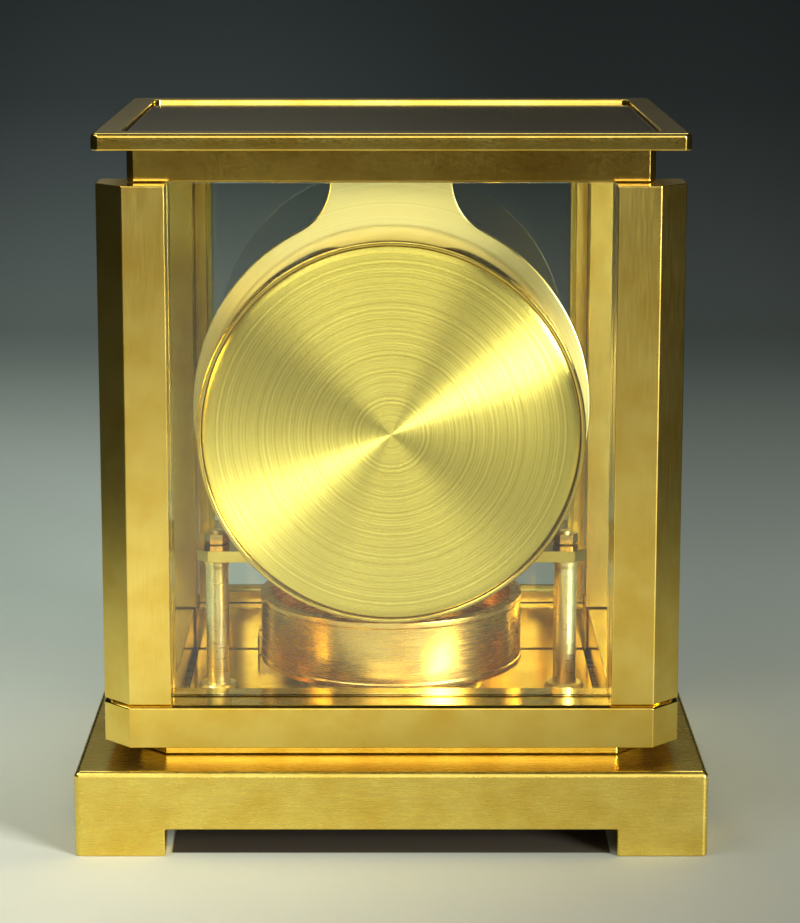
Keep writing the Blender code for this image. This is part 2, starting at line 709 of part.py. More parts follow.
door_axis = bpy.data.objects.new("door_axis", None)
scene.collection.objects.link(door_axis)
door_axis.location = (door_pin_x, door_pin_y, post_bottom)
door_low = post_bottom
door_high = POST_TOP
door_loops = [
    (door_edge, 0, door_back), (door_edge, 0, door_front),
    (door_edge - DOOR_STILE, DOOR_STILE, door_front),
    (door_edge - DOOR_STILE, DOOR_STILE, door_back + DOOR_REBATE_DEPTH),
    (door_edge - DOOR_STILE + DOOR_REBATE, DOOR_STILE - DOOR_REBATE, door_back + DOOR_REBATE_DEPTH),
    (door_edge - DOOR_STILE + DOOR_REBATE, DOOR_STILE - DOOR_REBATE, door_back)]
door_frame = lofted([facing(rectangle(-u, u, door_low + inset, door_high - inset), depth)
                     for u, inset, depth in door_loops], ring=True)
corner_reach = DOOR_PIN_INSET / 2
door_wedge = [(door_pin_x, door_front), (door_edge + OVERRUN, door_front + OVERRUN),
              (door_edge, door_pin_y + corner_reach)]
add_piece("door_frame", combined(door_frame, joined=[
    pin(DOOR_PIN_RADIUS, door_low - DOOR_PIN_LENGTH, door_low + OVERRUN,
        (door_pin_x, door_pin_y), upright, TINY_STEPS),
    pin(DOOR_PIN_RADIUS, door_high - OVERRUN, door_high + DOOR_PIN_LENGTH,
        (door_pin_x, door_pin_y), upright, TINY_STEPS)], cut=[
    extruded(door_wedge, door_low - OVERRUN, door_high + OVERRUN, upright)]), GILT,
    door_axis.location, door_axis)
pane_inset = DOOR_STILE - DOOR_REBATE + GAP
door_pane_back = door_back + GAP
add_piece("door_glass", extruded(rectangle(pane_inset - door_edge, door_edge - pane_inset,
                                           door_low + pane_inset, door_high - pane_inset),
                                 door_pane_back, door_pane_back + DOOR_GLASS_THICKNESS),
          CLEAR_GLASS, door_axis.location, door_axis)
knob_base = door_front + GAP
knob_head = knob_base + DOOR_KNOB_NECK_LENGTH
knob_end = knob_base + DOOR_KNOB_LENGTH
add_piece("door_knob", turned([
    (DOOR_KNOB_NECK_RADIUS, knob_base), (DOOR_KNOB_NECK_RADIUS, knob_head),
    (DOOR_KNOB_RADIUS, knob_head + DOOR_KNOB_ROUND), (DOOR_KNOB_RADIUS, knob_end - DOOR_KNOB_ROUND),
    (DOOR_KNOB_RADIUS - DOOR_KNOB_ROUND, knob_end)],
    (DOOR_KNOB_INSET - door_edge, centre_height)), GILT, door_axis.location, door_axis)

# Sole plate, columns, nuts and platform

sole_bottom = PLINTH_TOP + GAP
sole_top = sole_bottom + SOLE_THICKNESS
sole_x = opening_x - SOLE_SETBACK
sole_y = opening_y - SOLE_SETBACK
arrest_bottom = sole_top + LOCK_LIFT_GAP + LOCK_THICKNESS + ARREST_CLEARANCE
arrest_top = arrest_bottom + ARREST_THICKNESS
arrest_middle = ARREST_OUTER_RADIUS - ARREST_WALL / 2
leg_angles = [math.tau * leg / ARREST_LEG_COUNT - math.radians(90) for leg in range(ARREST_LEG_COUNT)]
leg_points = [polar((0, 0), arrest_middle, angle) for angle in leg_angles]
sole = lofted([
    upright(canted(sole_x, sole_y, SOLE_CHAMFER), sole_bottom),
    upright(canted(sole_x, sole_y, SOLE_CHAMFER), sole_top - SOLE_CHAMFER),
    upright(canted(sole_x - SOLE_CHAMFER, sole_y - SOLE_CHAMFER, SOLE_CHAMFER), sole_top)])
add_piece("sole_plate", combined(sole, cut=[
    pin(ARREST_LEG_RADIUS + PIVOT_GAP, sole_bottom - OVERRUN, sole_top + OVERRUN, point, upright, TINY_STEPS)
    for point in leg_points] + [
    pin(LOCK_PIN_RADIUS + PIVOT_GAP, sole_bottom - OVERRUN, sole_top + OVERRUN, (0, lock_pivot_y), upright,
        TINY_STEPS)]), GILT)

column_bottom = sole_top + GAP
column_top = PLATFORM_BOTTOM - GAP
column_profile = [
    (COLUMN_FLANGE_RADIUS, column_bottom), (COLUMN_FLANGE_RADIUS, column_bottom + COLUMN_FLANGE_HEIGHT),
    (COLUMN_RADIUS, column_bottom + COLUMN_FLANGE_HEIGHT), (COLUMN_RADIUS, column_top - COLUMN_SHOULDER_HEIGHT),
    (COLUMN_SHOULDER_RADIUS, column_top - COLUMN_SHOULDER_HEIGHT), (COLUMN_SHOULDER_RADIUS, column_top),
    (COLUMN_STUD_RADIUS, column_top), (COLUMN_STUD_RADIUS, column_top + COLUMN_STUD_LENGTH)]
for side, label in ((-1, "left"), (1, "right")):
    foot_point = (side * column_x, 0)
    add_piece("column_" + label, turned(column_profile, foot_point, upright, SMALL_STEPS + NUT_SIDES), GILT)
    nut = combined(pin(COLUMN_NUT_RADIUS, platform_top + GAP, platform_top + GAP + COLUMN_NUT_HEIGHT,
                       foot_point, upright, NUT_SIDES), cut=[
        pin(COLUMN_STUD_RADIUS + PIVOT_GAP, platform_top, platform_top + COLUMN_NUT_HEIGHT + OVERRUN,
            foot_point, upright)])
    add_piece("column_nut_" + label, nut, BRASS)

mount_front = MOUNT_REAR + MOUNT_THICKNESS
front_plate_rear = BACK_PLATE_REAR + PLATE_THICKNESS + TRAIN_SPACE
front_plate_front = front_plate_rear + PLATE_THICKNESS
platform_outline = [(u, v + (MOUNT_REAR + front_plate_front) / 2) for u, v in
                    canted(column_x + PLATFORM_OVERHANG, (front_plate_front - MOUNT_REAR) / 2, PLATFORM_CANT)]
platform = extruded(platform_outline, PLATFORM_BOTTOM, platform_top, upright)
add_piece("platform", combined(platform, cut=[
    extruded(canted(PLATFORM_SLOT_WIDTH / 2, PLATFORM_SLOT_DEPTH / 2, PLATFORM_CANT),
             PLATFORM_BOTTOM - OVERRUN, platform_top + OVERRUN, upright)] + [
    pin(COLUMN_STUD_RADIUS + PIVOT_GAP, PLATFORM_BOTTOM - OVERRUN, platform_top + OVERRUN,
        (side * column_x, 0), upright) for side in (-1, 1)]), GILT)

# Spirit level

level_bottom = sole_top + GAP
level_top = level_bottom + LEVEL_HEIGHT
vial_height = level_top - VIAL_RADIUS
housing = shifted(extruded(canted(LEVEL_LENGTH / 2, LEVEL_WIDTH / 2, SOLE_CHAMFER),
                           level_bottom, level_top, upright), (LEVEL_X, LEVEL_Y, 0))
half_vial = VIAL_LENGTH / 2
trough_radius = VIAL_RADIUS + GAP
trough = [(LEVEL_Y - trough_radius, vial_height), (LEVEL_Y - trough_radius, level_top + OVERRUN),
          (LEVEL_Y + trough_radius, level_top + OVERRUN), (LEVEL_Y + trough_radius, vial_height)]
add_piece("level_housing", combined(housing, cut=[
    pin(trough_radius, LEVEL_X - half_vial - GAP, LEVEL_X + half_vial + GAP, (LEVEL_Y, vial_height), sideways),
    extruded(trough, LEVEL_X - half_vial - GAP, LEVEL_X + half_vial + GAP, sideways)]), BRASS)
add_piece("level_vial", pin(VIAL_RADIUS, LEVEL_X - half_vial, LEVEL_X + half_vial, (LEVEL_Y, vial_height),
                            sideways), GREEN_SPIRIT)

# Balance lock

lock_bottom = sole_top + LOCK_LIFT_GAP
lock_top = lock_bottom + LOCK_THICKNESS
lock_inner = (0, lock_pivot_y - LOCK_INNER_REACH)
lock_outer = (0, lock_pivot_y + LOCK_OUTER_REACH)
add_piece("lock_lever", combined(
    extruded(bar(lock_inner, lock_outer, LOCK_WIDTH), lock_bottom, lock_top, upright), joined=[
        pin(LOCK_PIN_RADIUS, sole_bottom, lock_bottom + OVERRUN, (0, lock_pivot_y), upright, TINY_STEPS),
        pin(LOCK_KNOB_RADIUS, lock_bottom + OVERRUN / 2, lock_bottom + LOCK_KNOB_HEIGHT, lock_outer, upright)]),
    STEEL, (0, lock_pivot_y, lock_bottom))
arrest = turned([(ARREST_OUTER_RADIUS, arrest_bottom), (ARREST_OUTER_RADIUS, arrest_top),
                 (ARREST_OUTER_RADIUS - ARREST_WALL, arrest_top),
                 (ARREST_OUTER_RADIUS - ARREST_WALL, arrest_bottom)], (0, 0), upright, ROUND_STEPS, ring=True)
add_piece("arrest_ring", combined(arrest, joined=[
    pin(ARREST_LEG_RADIUS, sole_bottom + GAP, arrest_bottom + OVERRUN, point, upright, TINY_STEPS)
    for point in leg_points]), BRASS, (0, 0, arrest_bottom))

# Balance

balance_axis = bpy.data.objects.new("balance_axis", None)
scene.collection.objects.link(balance_axis)
balance_top = BALANCE_BOTTOM + BALANCE_HEIGHT
balance_inner = BALANCE_RADIUS - BALANCE_WALL
balance_ring = turned([
    (BALANCE_RADIUS - BALANCE_CHAMFER, BALANCE_BOTTOM), (BALANCE_RADIUS, BALANCE_BOTTOM + BALANCE_CHAMFER),
    (BALANCE_RADIUS, balance_top - BALANCE_CHAMFER), (BALANCE_RADIUS - BALANCE_CHAMFER, balance_top),
    (balance_inner + BALANCE_CHAMFER, balance_top), (balance_inner, balance_top - BALANCE_CHAMFER),
    (balance_inner, BALANCE_BOTTOM + BALANCE_CHAMFER), (balance_inner + BALANCE_CHAMFER, BALANCE_BOTTOM)],
    (0, 0), upright, FINE_STEPS, ring=True)
arm_bottom = BALANCE_BOTTOM + BALANCE_ARM_RISE
hub_bottom = BALANCE_BOTTOM + HUB_RISE
hub_top = hub_bottom + HUB_HEIGHT
arm_reach = balance_inner + BALANCE_WALL / 2
balance_arms = [extruded(bar(polar((0, 0), -arm_reach, angle), polar((0, 0), arm_reach, angle),
                             BALANCE_ARM_WIDTH), arm_bottom, arm_bottom + BALANCE_ARM_THICKNESS, upright)
                for angle in [math.tau * arm / BALANCE_ARMS for arm in range(BALANCE_ARMS // 2)]]
add_piece("balance_ring", combined(balance_ring, joined=balance_arms + [
    pin(HUB_RADIUS, hub_bottom, hub_top, (0, 0), upright)], cut=[
    pin(STAFF_RADIUS + GAP, hub_bottom - OVERRUN, hub_top + OVERRUN, (0, 0), upright)]),
    COPPER_GILT, carrier=balance_axis)

collar_top = hub_bottom - GAP
collar_bottom = collar_top - STAFF_COLLAR_HEIGHT
staff_foot = sole_top + STAFF_TIP_LIFT
roller_bottom = balance_top + ROLLER_RISE
roller_top = roller_bottom + ROLLER_THICKNESS
staff = turned([
    (STAFF_TIP_RADIUS, staff_foot), (STAFF_TIP_RADIUS, staff_foot + STAFF_TIP_LENGTH),
    (STAFF_RADIUS, staff_foot + STAFF_TIP_LENGTH), (STAFF_RADIUS, collar_bottom),
    (STAFF_COLLAR_RADIUS, collar_bottom), (STAFF_COLLAR_RADIUS, collar_top), (STAFF_RADIUS, collar_top),
    (STAFF_RADIUS, roller_bottom), (ROLLER_RADIUS, roller_bottom), (ROLLER_RADIUS, roller_top),
    (STAFF_NECK_RADIUS, roller_top), (STAFF_NECK_RADIUS, STAFF_TOP)], (0, 0), upright)
add_piece("balance_staff", combined(staff, joined=[
    pin(IMPULSE_PIN_RADIUS, roller_top - OVERRUN, IMPULSE_PIN_TOP, (0, IMPULSE_PIN_OFFSET), upright,
        TINY_STEPS)]), STEEL, carrier=balance_axis)

wire_foot = STAFF_TOP + GAP
head_top = HEAD_BOTTOM + HEAD_HEIGHT
boss_top = head_top + HEAD_BOSS_HEIGHT
wire_head = boss_top + GAP
add_piece("torsion_wire", turned([
    (WIRE_FOOT_RADIUS, wire_foot), (WIRE_FOOT_RADIUS, wire_foot + WIRE_FOOT_HEIGHT),
    (WIRE_RADIUS, wire_foot + WIRE_FOOT_HEIGHT), (WIRE_RADIUS, wire_head), (WIRE_HEAD_RADIUS, wire_head),
    (WIRE_HEAD_RADIUS, wire_head + WIRE_HEAD_HEIGHT)], (0, 0), upright, TINY_STEPS), BLUED_STEEL)
tube_top = HEAD_BOTTOM - GAP
tube_bore = TUBE_RADIUS - TUBE_WALL
add_piece("guard_tube", turned([
    (TUBE_RADIUS, TUBE_BOTTOM), (TUBE_RADIUS, tube_top), (tube_bore, tube_top), (tube_bore, TUBE_BOTTOM)],
    (0, 0), upright, ring=True), GILT)
head_block = extruded(rectangle(-HEAD_WIDTH / 2, HEAD_WIDTH / 2, mount_front + GAP, HEAD_FRONT),
                      HEAD_BOTTOM, head_top, upright)
add_piece("suspension_head", combined(head_block, joined=[
    pin(HEAD_BOSS_RADIUS, head_top - OVERRUN, boss_top, (0, 0), upright)], cut=[
    pin(HEAD_BORE_RADIUS, HEAD_BOTTOM - OVERRUN, boss_top + OVERRUN, (0, 0), upright, TINY_STEPS)]), GILT)
rate_inner = HEAD_BOSS_RADIUS + GAP
rate_bottom = head_top + GAP
rate_ring = pin(rate_inner + RATE_RING_WALL, rate_bottom, rate_bottom + RATE_THICKNESS, (0, 0), upright)
add_piece("rate_lever", combined(rate_ring, joined=[
    extruded(bar((0, rate_inner), (0, RATE_ARM_REACH), RATE_ARM_WIDTH), rate_bottom,
             rate_bottom + RATE_THICKNESS, upright)], cut=[
    pin(rate_inner, rate_bottom - OVERRUN, rate_bottom + RATE_THICKNESS + OVERRUN, (0, 0), upright)]),
    STEEL, (0, 0, rate_bottom))

# Where the arbors stand, in the (x, z) plane of the plates

train_front = front_plate_rear - LAYER_GAP
train_rear = BACK_PLATE_REAR + PLATE_THICKNESS + LAYER_GAP
centre_point = (0.0, centre_height)
intermediate_point = polar(centre_point, INTERMEDIATE_MODULE * (INTERMEDIATE_TEETH + CENTRE_PINION_TEETH) / 2,
                           INTERMEDIATE_DIRECTION)
barrel_point = polar(intermediate_point, BARREL_MODULE * (BARREL_TEETH + INTERMEDIATE_PINION_TEETH) / 2,
                     BARREL_DIRECTION)
escape_point = polar(centre_point, escape_mesh, ESCAPE_DIRECTION)
pallet_point = polar(escape_point, PALLET_PIVOT_DROP, PALLET_DIRECTION)
minute_point = polar(centre_point, MINUTE_MODULE * (CANNON_TEETH + MINUTE_WHEEL_TEETH) / 2, MOTION_DIRECTION)

# Depth of each layer of the train, from the back plate forwards
first_layer = train_rear
second_layer = first_layer + PINION_LENGTH + LAYER_GAP
third_layer = second_layer + PINION_LENGTH + LAYER_GAP
escape_layer = third_layer + PINION_LENGTH + LAYER_GAP
pivot_rear = BACK_PLATE_REAR + GAP
pivot_front = front_plate_front - GAP


def meshed_phase(teeth, direction):
    """Phase that puts a gap of a gear on the line from it to its neighbour."""
    return direction + math.pi + math.pi / teeth


def arbor(centre, rear=None, front=None):
    """Arbor between the plates, with a thin pivot in each."""
    start = pivot_rear if rear is None else rear
    end = pivot_front if front is None else front
    return turned([(PIVOT_RADIUS, start), (PIVOT_RADIUS, train_rear), (ARBOR_RADIUS, train_rear),
                   (ARBOR_RADIUS, train_front), (PIVOT_RADIUS, train_front), (PIVOT_RADIUS, end)],
                  centre, steps=TINY_STEPS)


def gear(teeth, module, centre, phase, rear, length):
    """Toothed disc or pinion."""
    return extruded(toothed(teeth, module, centre, phase), rear, rear + length)


add_piece("intermediate_wheel", combined(arbor(intermediate_point), joined=[
    gear(INTERMEDIATE_TEETH, INTERMEDIATE_MODULE, intermediate_point,
         meshed_phase(INTERMEDIATE_TEETH, INTERMEDIATE_DIRECTION), first_layer + LAYER_GAP / 2,
         WHEEL_THICKNESS),
    gear(INTERMEDIATE_PINION_TEETH, BARREL_MODULE, intermediate_point, BARREL_DIRECTION, third_layer,
         PINION_LENGTH)]), BRASS, (intermediate_point[0], 0, intermediate_point[1]))

cannon_rear = front_plate_front + LAYER_GAP
minute_hand_rear = HOUR_HAND_REAR + HAND_THICKNESS + HAND_LAYER_GAP
minute_hand_front = minute_hand_rear + HAND_THICKNESS
centre_end = minute_hand_front + CENTRE_NUT_LENGTH
centre_shaft = turned([
    (PIVOT_RADIUS, pivot_rear), (PIVOT_RADIUS, train_rear), (ARBOR_RADIUS, train_rear),
    (ARBOR_RADIUS, minute_hand_front + GAP), (CENTRE_NUT_RADIUS + GAP, minute_hand_front + GAP),
    (CENTRE_NUT_RADIUS + GAP, centre_end)], centre_point)
add_piece("centre_wheel", combined(centre_shaft, joined=[
    gear(CENTRE_PINION_TEETH, INTERMEDIATE_MODULE, centre_point, INTERMEDIATE_DIRECTION, first_layer,
         PINION_LENGTH),
    gear(CENTRE_TEETH, CENTRE_MODULE, centre_point, ESCAPE_DIRECTION, second_layer + LAYER_GAP / 2,
         WHEEL_THICKNESS),
    gear(CANNON_TEETH, MINUTE_MODULE, centre_point, MOTION_DIRECTION, cannon_rear, PINION_LENGTH)]),
    BRASS, (0, 0, centre_height))

escape_pitch = math.tau / ESCAPE_TEETH
pallet_half_angle = PALLET_SPAN_TEETH * escape_pitch / 2
gap_share = (1 + ESCAPE_BACK_SHARE) / 2
escape_phase = PALLET_DIRECTION - pallet_half_angle - gap_share * escape_pitch
add_piece("escape_wheel", combined(arbor(escape_point), joined=[
    gear(ESCAPE_PINION_TEETH, CENTRE_MODULE, escape_point, meshed_phase(ESCAPE_PINION_TEETH, ESCAPE_DIRECTION),
         second_layer, PINION_LENGTH),
    extruded(ratchet_toothed(ESCAPE_TEETH, ESCAPE_RADIUS, ESCAPE_TOOTH_DEPTH, escape_point, escape_phase),
             escape_layer, escape_layer + WHEEL_THICKNESS)]), BRASS, (escape_point[0], 0, escape_point[1]))

fork_rear = FORK_CENTRE_Y - FORK_THICKNESS / 2
fork_front = FORK_CENTRE_Y + FORK_THICKNESS / 2
fork_low = IMPULSE_PIN_TOP + FORK_TIP_CLEARANCE
fork_head_top = fork_low + FORK_HEAD_HEIGHT
stone_reach = ESCAPE_RADIUS + PALLET_CLEARANCE
pallet_solids = [
    pin(PALLET_HUB_RADIUS, escape_layer, escape_layer + WHEEL_THICKNESS, pallet_point),
    extruded(bar(pallet_point, (0, fork_head_top - OVERRUN), FORK_STEM_WIDTH), fork_rear, fork_front)]
for side in (-1, 1):
    stone_angle = PALLET_DIRECTION + side * pallet_half_angle
    stone_tip = polar(escape_point, stone_reach, stone_angle)
    stone_base = polar(escape_point, stone_reach + PALLET_ARM_WIDTH, stone_angle)
    pallet_solids.append(extruded(bar(stone_tip, stone_base, PALLET_STONE_WIDTH), escape_layer,
                                  escape_layer + WHEEL_THICKNESS))
    pallet_solids.append(extruded(bar(pallet_point, stone_base, PALLET_ARM_WIDTH),
                                  escape_layer + GAP, escape_layer + WHEEL_THICKNESS - GAP))
fork_head = rectangle(-FORK_HEAD_WIDTH / 2, FORK_HEAD_WIDTH / 2, fork_low, fork_head_top)
fork_slot = rectangle(-FORK_SLOT_WIDTH / 2, FORK_SLOT_WIDTH / 2, fork_low - OVERRUN, fork_low + FORK_SLOT_DEPTH)
pallet_solids.append(extruded(fork_head, fork_rear + GAP / 2, fork_front - GAP / 2))
pallet_shaft = turned([
    (PALLET_HUB_RADIUS, fork_rear - GAP), (PALLET_HUB_RADIUS, fork_front + GAP),
    (PIVOT_RADIUS, fork_front + GAP), (PIVOT_RADIUS, train_rear),
    (ARBOR_RADIUS, train_rear), (ARBOR_RADIUS, train_front),
    (PIVOT_RADIUS, train_front), (PIVOT_RADIUS, pivot_front)], pallet_point, steps=TINY_STEPS)
add_piece("pallet_lever", combined(pallet_shaft, joined=pallet_solids, cut=[
    extruded(fork_slot, fork_rear - OVERRUN, fork_front + OVERRUN)]), STEEL,
    (pallet_point[0], 0, pallet_point[1]))

# Barrel with its spring and winding arbor

barrel_rear = third_layer + GAP
barrel_front = barrel_rear + BARREL_LENGTH
barrel_bore = BARREL_ARBOR_RADIUS + PIVOT_GAP
barrel_room = BARREL_DRUM_RADIUS - BARREL_WALL
barrel_teeth = gear(BARREL_TEETH, BARREL_MODULE, barrel_point,
                    meshed_phase(BARREL_TEETH, BARREL_DIRECTION), barrel_rear, WHEEL_THICKNESS)
add_piece("barrel", combined(barrel_teeth, joined=[
    pin(BARREL_DRUM_RADIUS, barrel_rear + GAP, barrel_front, barrel_point, steps=ROUND_STEPS)], cut=[
    pin(barrel_room, barrel_rear + BARREL_WALL, barrel_front - BARREL_WALL, barrel_point, steps=ROUND_STEPS),
    pin(barrel_bore, barrel_rear - OVERRUN, barrel_front + OVERRUN, barrel_point)]),
    BRASS, (barrel_point[0], 0, barrel_point[1]))

spring_inner = BARREL_ARBOR_RADIUS + MAINSPRING_INNER_GAP
spring_outer = barrel_room - MAINSPRING_OUTER_GAP
spring_middle = (barrel_rear + barrel_front) / 2
spring_half = (BARREL_LENGTH / 2 - BARREL_WALL) * MAINSPRING_HEIGHT_SHARE
spring_loops = []
for step in range(MAINSPRING_TURNS * MAINSPRING_STEPS + 1):
    swept = step / (MAINSPRING_TURNS * MAINSPRING_STEPS)
    radius = spring_inner + (spring_outer - spring_inner) * swept
    angle = math.tau * MAINSPRING_TURNS * swept
    inner = polar(barrel_point, radius - MAINSPRING_THICKNESS / 2, angle)
    outer = polar(barrel_point, radius + MAINSPRING_THICKNESS / 2, angle)
    spring_loops.append([(inner[0], spring_middle - spring_half, inner[1]),
                         (outer[0], spring_middle - spring_half, outer[1]),
                         (outer[0], spring_middle + spring_half, outer[1]),
                         (inner[0], spring_middle + spring_half, inner[1])])
add_piece("mainspring", lofted(spring_loops), BLUED_STEEL, (barrel_point[0], 0, barrel_point[1]))

pulley_rear = mount_front + PULLEY_LIFT
groove_rear = pulley_rear + PULLEY_WALL
groove_front = groove_rear + PULLEY_GROOVE_WIDTH
groove_radius = PULLEY_RADIUS - PULLEY_GROOVE_DEPTH
chain_depth = (groove_rear + groove_front) / 2
add_piece("winding_arbor", turned([
    (PULLEY_RADIUS, pulley_rear), (PULLEY_RADIUS, groove_rear), (groove_radius, groove_rear),
    (groove_radius, groove_front), (PULLEY_RADIUS, groove_front), (PULLEY_RADIUS, groove_front + PULLEY_WALL),
    (BARREL_ARBOR_RADIUS, groove_front + PULLEY_WALL), (BARREL_ARBOR_RADIUS, train_front),
    (PIVOT_RADIUS, train_front), (PIVOT_RADIUS, pivot_front)], barrel_point),
    STEEL, (barrel_point[0], 0, barrel_point[1]))

# Motion work

minute_wheel_rear = cannon_rear + LAYER_GAP / 2
hour_pinion_rear = minute_wheel_rear + WHEEL_THICKNESS
minute_arbor_front = hour_pinion_rear + PINION_LENGTH
add_piece("minute_wheel", combined(
    turned([(PIVOT_RADIUS, front_plate_rear + GAP), (PIVOT_RADIUS, front_plate_front + GAP),
            (ARBOR_RADIUS, front_plate_front + GAP), (ARBOR_RADIUS, minute_arbor_front)], minute_point,
           steps=TINY_STEPS), joined=[
        gear(MINUTE_WHEEL_TEETH, MINUTE_MODULE, minute_point,
             meshed_phase(MINUTE_WHEEL_TEETH, MOTION_DIRECTION), minute_wheel_rear, WHEEL_THICKNESS),
        gear(MINUTE_PINION_TEETH, HOUR_MODULE, minute_point, MOTION_DIRECTION + math.pi,
             hour_pinion_rear - GAP, PINION_LENGTH)]), BRASS, (minute_point[0], 0, minute_point[1]))

hour_wheel_rear = cannon_rear + PINION_LENGTH + GAP
pipe_bore = ARBOR_RADIUS + PIVOT_GAP
pipe_radius = pipe_bore + HOUR_PIPE_WALL
hour_hand_front = HOUR_HAND_REAR + HAND_THICKNESS
hour_gear = gear(HOUR_TEETH, HOUR_MODULE, centre_point,
                 meshed_phase(HOUR_TEETH, MOTION_DIRECTION + math.pi), hour_wheel_rear, WHEEL_THICKNESS)
add_piece("hour_wheel", combined(hour_gear, joined=[
    pin(pipe_radius, hour_wheel_rear + GAP, hour_hand_front, centre_point)], cut=[
    pin(pipe_bore, hour_wheel_rear - OVERRUN, hour_hand_front + OVERRUN, centre_point)]),
    BRASS, (0, 0, centre_height))


def hand(length, width, bore, rear, angle):
    """Tapering hand with a round hub and a short tail."""
    tip = polar(centre_point, length, angle)
    tail = polar(centre_point, -HAND_TAIL_LENGTH, angle)
    across = angle + math.radians(90)
    blade = [polar(tail, width / 2, across), polar(tail, -width / 2, across),
             polar(tip, -HAND_TIP_WIDTH / 2, across), polar(tip, HAND_TIP_WIDTH / 2, across)]
    return combined(extruded(blade, rear, rear + HAND_THICKNESS), joined=[
        pin(HAND_HUB_RADIUS, rear, rear + HAND_THICKNESS, centre_point)], cut=[
        pin(bore, rear - OVERRUN, rear + HAND_THICKNESS + OVERRUN, centre_point)])


add_piece("hour_hand", hand(HOUR_HAND_LENGTH, HOUR_HAND_WIDTH, pipe_radius + GAP, HOUR_HAND_REAR,
                            HOUR_HAND_ANGLE), GILT, (0, 0, centre_height))
add_piece("minute_hand", hand(MINUTE_HAND_LENGTH, MINUTE_HAND_WIDTH, ARBOR_RADIUS + GAP, minute_hand_rear,
                              MINUTE_HAND_ANGLE), GILT, (0, 0, centre_height))

# Dial ring with raised markers and three feet

dial_front = DIAL_REAR + DIAL_THICKNESS
dial_ring = turned([(DIAL_RADIUS, DIAL_REAR), (DIAL_RADIUS, dial_front), (DIAL_INNER_RADIUS, dial_front),
                    (DIAL_INNER_RADIUS, DIAL_REAR)], centre_point, steps=FINE_STEPS, ring=True)
dial_additions = []
for marker in range(MARKER_COUNT):
    angle = math.tau * marker / MARKER_COUNT
    start = polar(centre_point, MARKER_OUTER_RADIUS - MARKER_LENGTH, angle)
    end = polar(centre_point, MARKER_OUTER_RADIUS, angle)
    dial_additions.append(extruded(bar(start, end, MARKER_WIDTH), dial_front - MARKER_HEIGHT,
                                   dial_front + MARKER_HEIGHT))
for angle in DIAL_FOOT_ANGLES:
    dial_additions.append(pin(DIAL_FOOT_RADIUS, front_plate_front + GAP, DIAL_REAR + DIAL_THICKNESS / 2,
                              polar(centre_point, DIAL_FOOT_CIRCLE, angle), steps=TINY_STEPS))
add_piece("dial_ring", combined(dial_ring, joined=dial_additions), WHITE_ENAMEL)

# Plates, pillars and spacers

plate_foot = platform_top + GAP


def plate_outline(radius):
    """Round plate with a straight foot that stands on the platform."""
    foot_angle = math.asin((centre_height - plate_foot) / radius)
    start = -foot_angle
    sweep = math.pi + 2 * foot_angle
    return [polar(centre_point, radius, start + sweep * step / FINE_STEPS) for step in range(FINE_STEPS + 1)]


def pivot_hole(centre, radius, rear):
    """Hole through one plate, wider than its pivot by the running gap."""
    return pin(radius + PIVOT_GAP, rear - OVERRUN, rear + PLATE_THICKNESS + OVERRUN, centre, steps=TINY_STEPS)


shared_pivots = [intermediate_point, escape_point, pallet_point]
back_holes = [pivot_hole(point, PIVOT_RADIUS, BACK_PLATE_REAR) for point in shared_pivots + [centre_point]]
back_holes.append(pin(BARREL_ARBOR_RADIUS + PIVOT_GAP, BACK_PLATE_REAR - OVERRUN,
                      BACK_PLATE_REAR + PLATE_THICKNESS + OVERRUN, barrel_point))
add_piece("back_plate", combined(extruded(plate_outline(PLATE_RADIUS), BACK_PLATE_REAR,
                                          BACK_PLATE_REAR + PLATE_THICKNESS), cut=back_holes), BRASS)
front_holes = [pivot_hole(point, PIVOT_RADIUS, front_plate_rear)
               for point in shared_pivots + [barrel_point, minute_point]]
front_holes.append(pin(ARBOR_RADIUS + PIVOT_GAP, front_plate_rear - OVERRUN, front_plate_front + OVERRUN,
                       centre_point))
add_piece("front_plate", combined(extruded(plate_outline(PLATE_RADIUS), front_plate_rear, front_plate_front),
                                  cut=front_holes), BRASS)
pillar_rear = BACK_PLATE_REAR + PLATE_THICKNESS + GAP
for index, angle in enumerate(PILLAR_ANGLES):
    add_piece("pillar_" + str(index + 1), pin(PILLAR_RADIUS, pillar_rear, front_plate_rear - GAP,
                                              polar(centre_point, PILLAR_CIRCLE, angle)), BRASS)
for index, angle in enumerate(SPACER_ANGLES):
    add_piece("spacer_" + str(index + 1), pin(SPACER_RADIUS, mount_front + GAP, BACK_PLATE_REAR - GAP,
                                              polar(centre_point, SPACER_CIRCLE, angle)), BRASS)



def necked_outline(radius, half_width, top, fillet):
    """Footed disc that runs up into a neck through a hollow fillet on each side."""
    foot_angle = math.asin((centre_height - plate_foot) / radius)
    lean = math.acos((half_width + fillet) / (radius + fillet))
    fillet_centre = polar(centre_point, radius + fillet, lean)
    right = [polar(centre_point, radius, (lean + foot_angle) * step / ROUND_STEPS - foot_angle)
             for step in range(ROUND_STEPS + 1)]
    right += [polar(fillet_centre, fillet, math.pi + lean * (1 - step / TINY_STEPS))
              for step in range(1, TINY_STEPS + 1)]
    right.append((half_width, top))
    return right + [(-u, v) for u, v in reversed(right)]


mount_blank = extruded(necked_outline(MOUNT_RADIUS, MOUNT_NECK_WIDTH / 2, MOUNT_NECK_TOP, MOUNT_NECK_FILLET),
                       MOUNT_REAR, mount_front)
drum_point = (0, DRUM_HEIGHT)
add_piece("mounting_plate", combined(mount_blank, cut=[
    pin(MOUNT_BORE_RADIUS, MOUNT_REAR - OVERRUN, mount_front + OVERRUN, drum_point)]), BRUSHED_GILT)

# Capsule drum

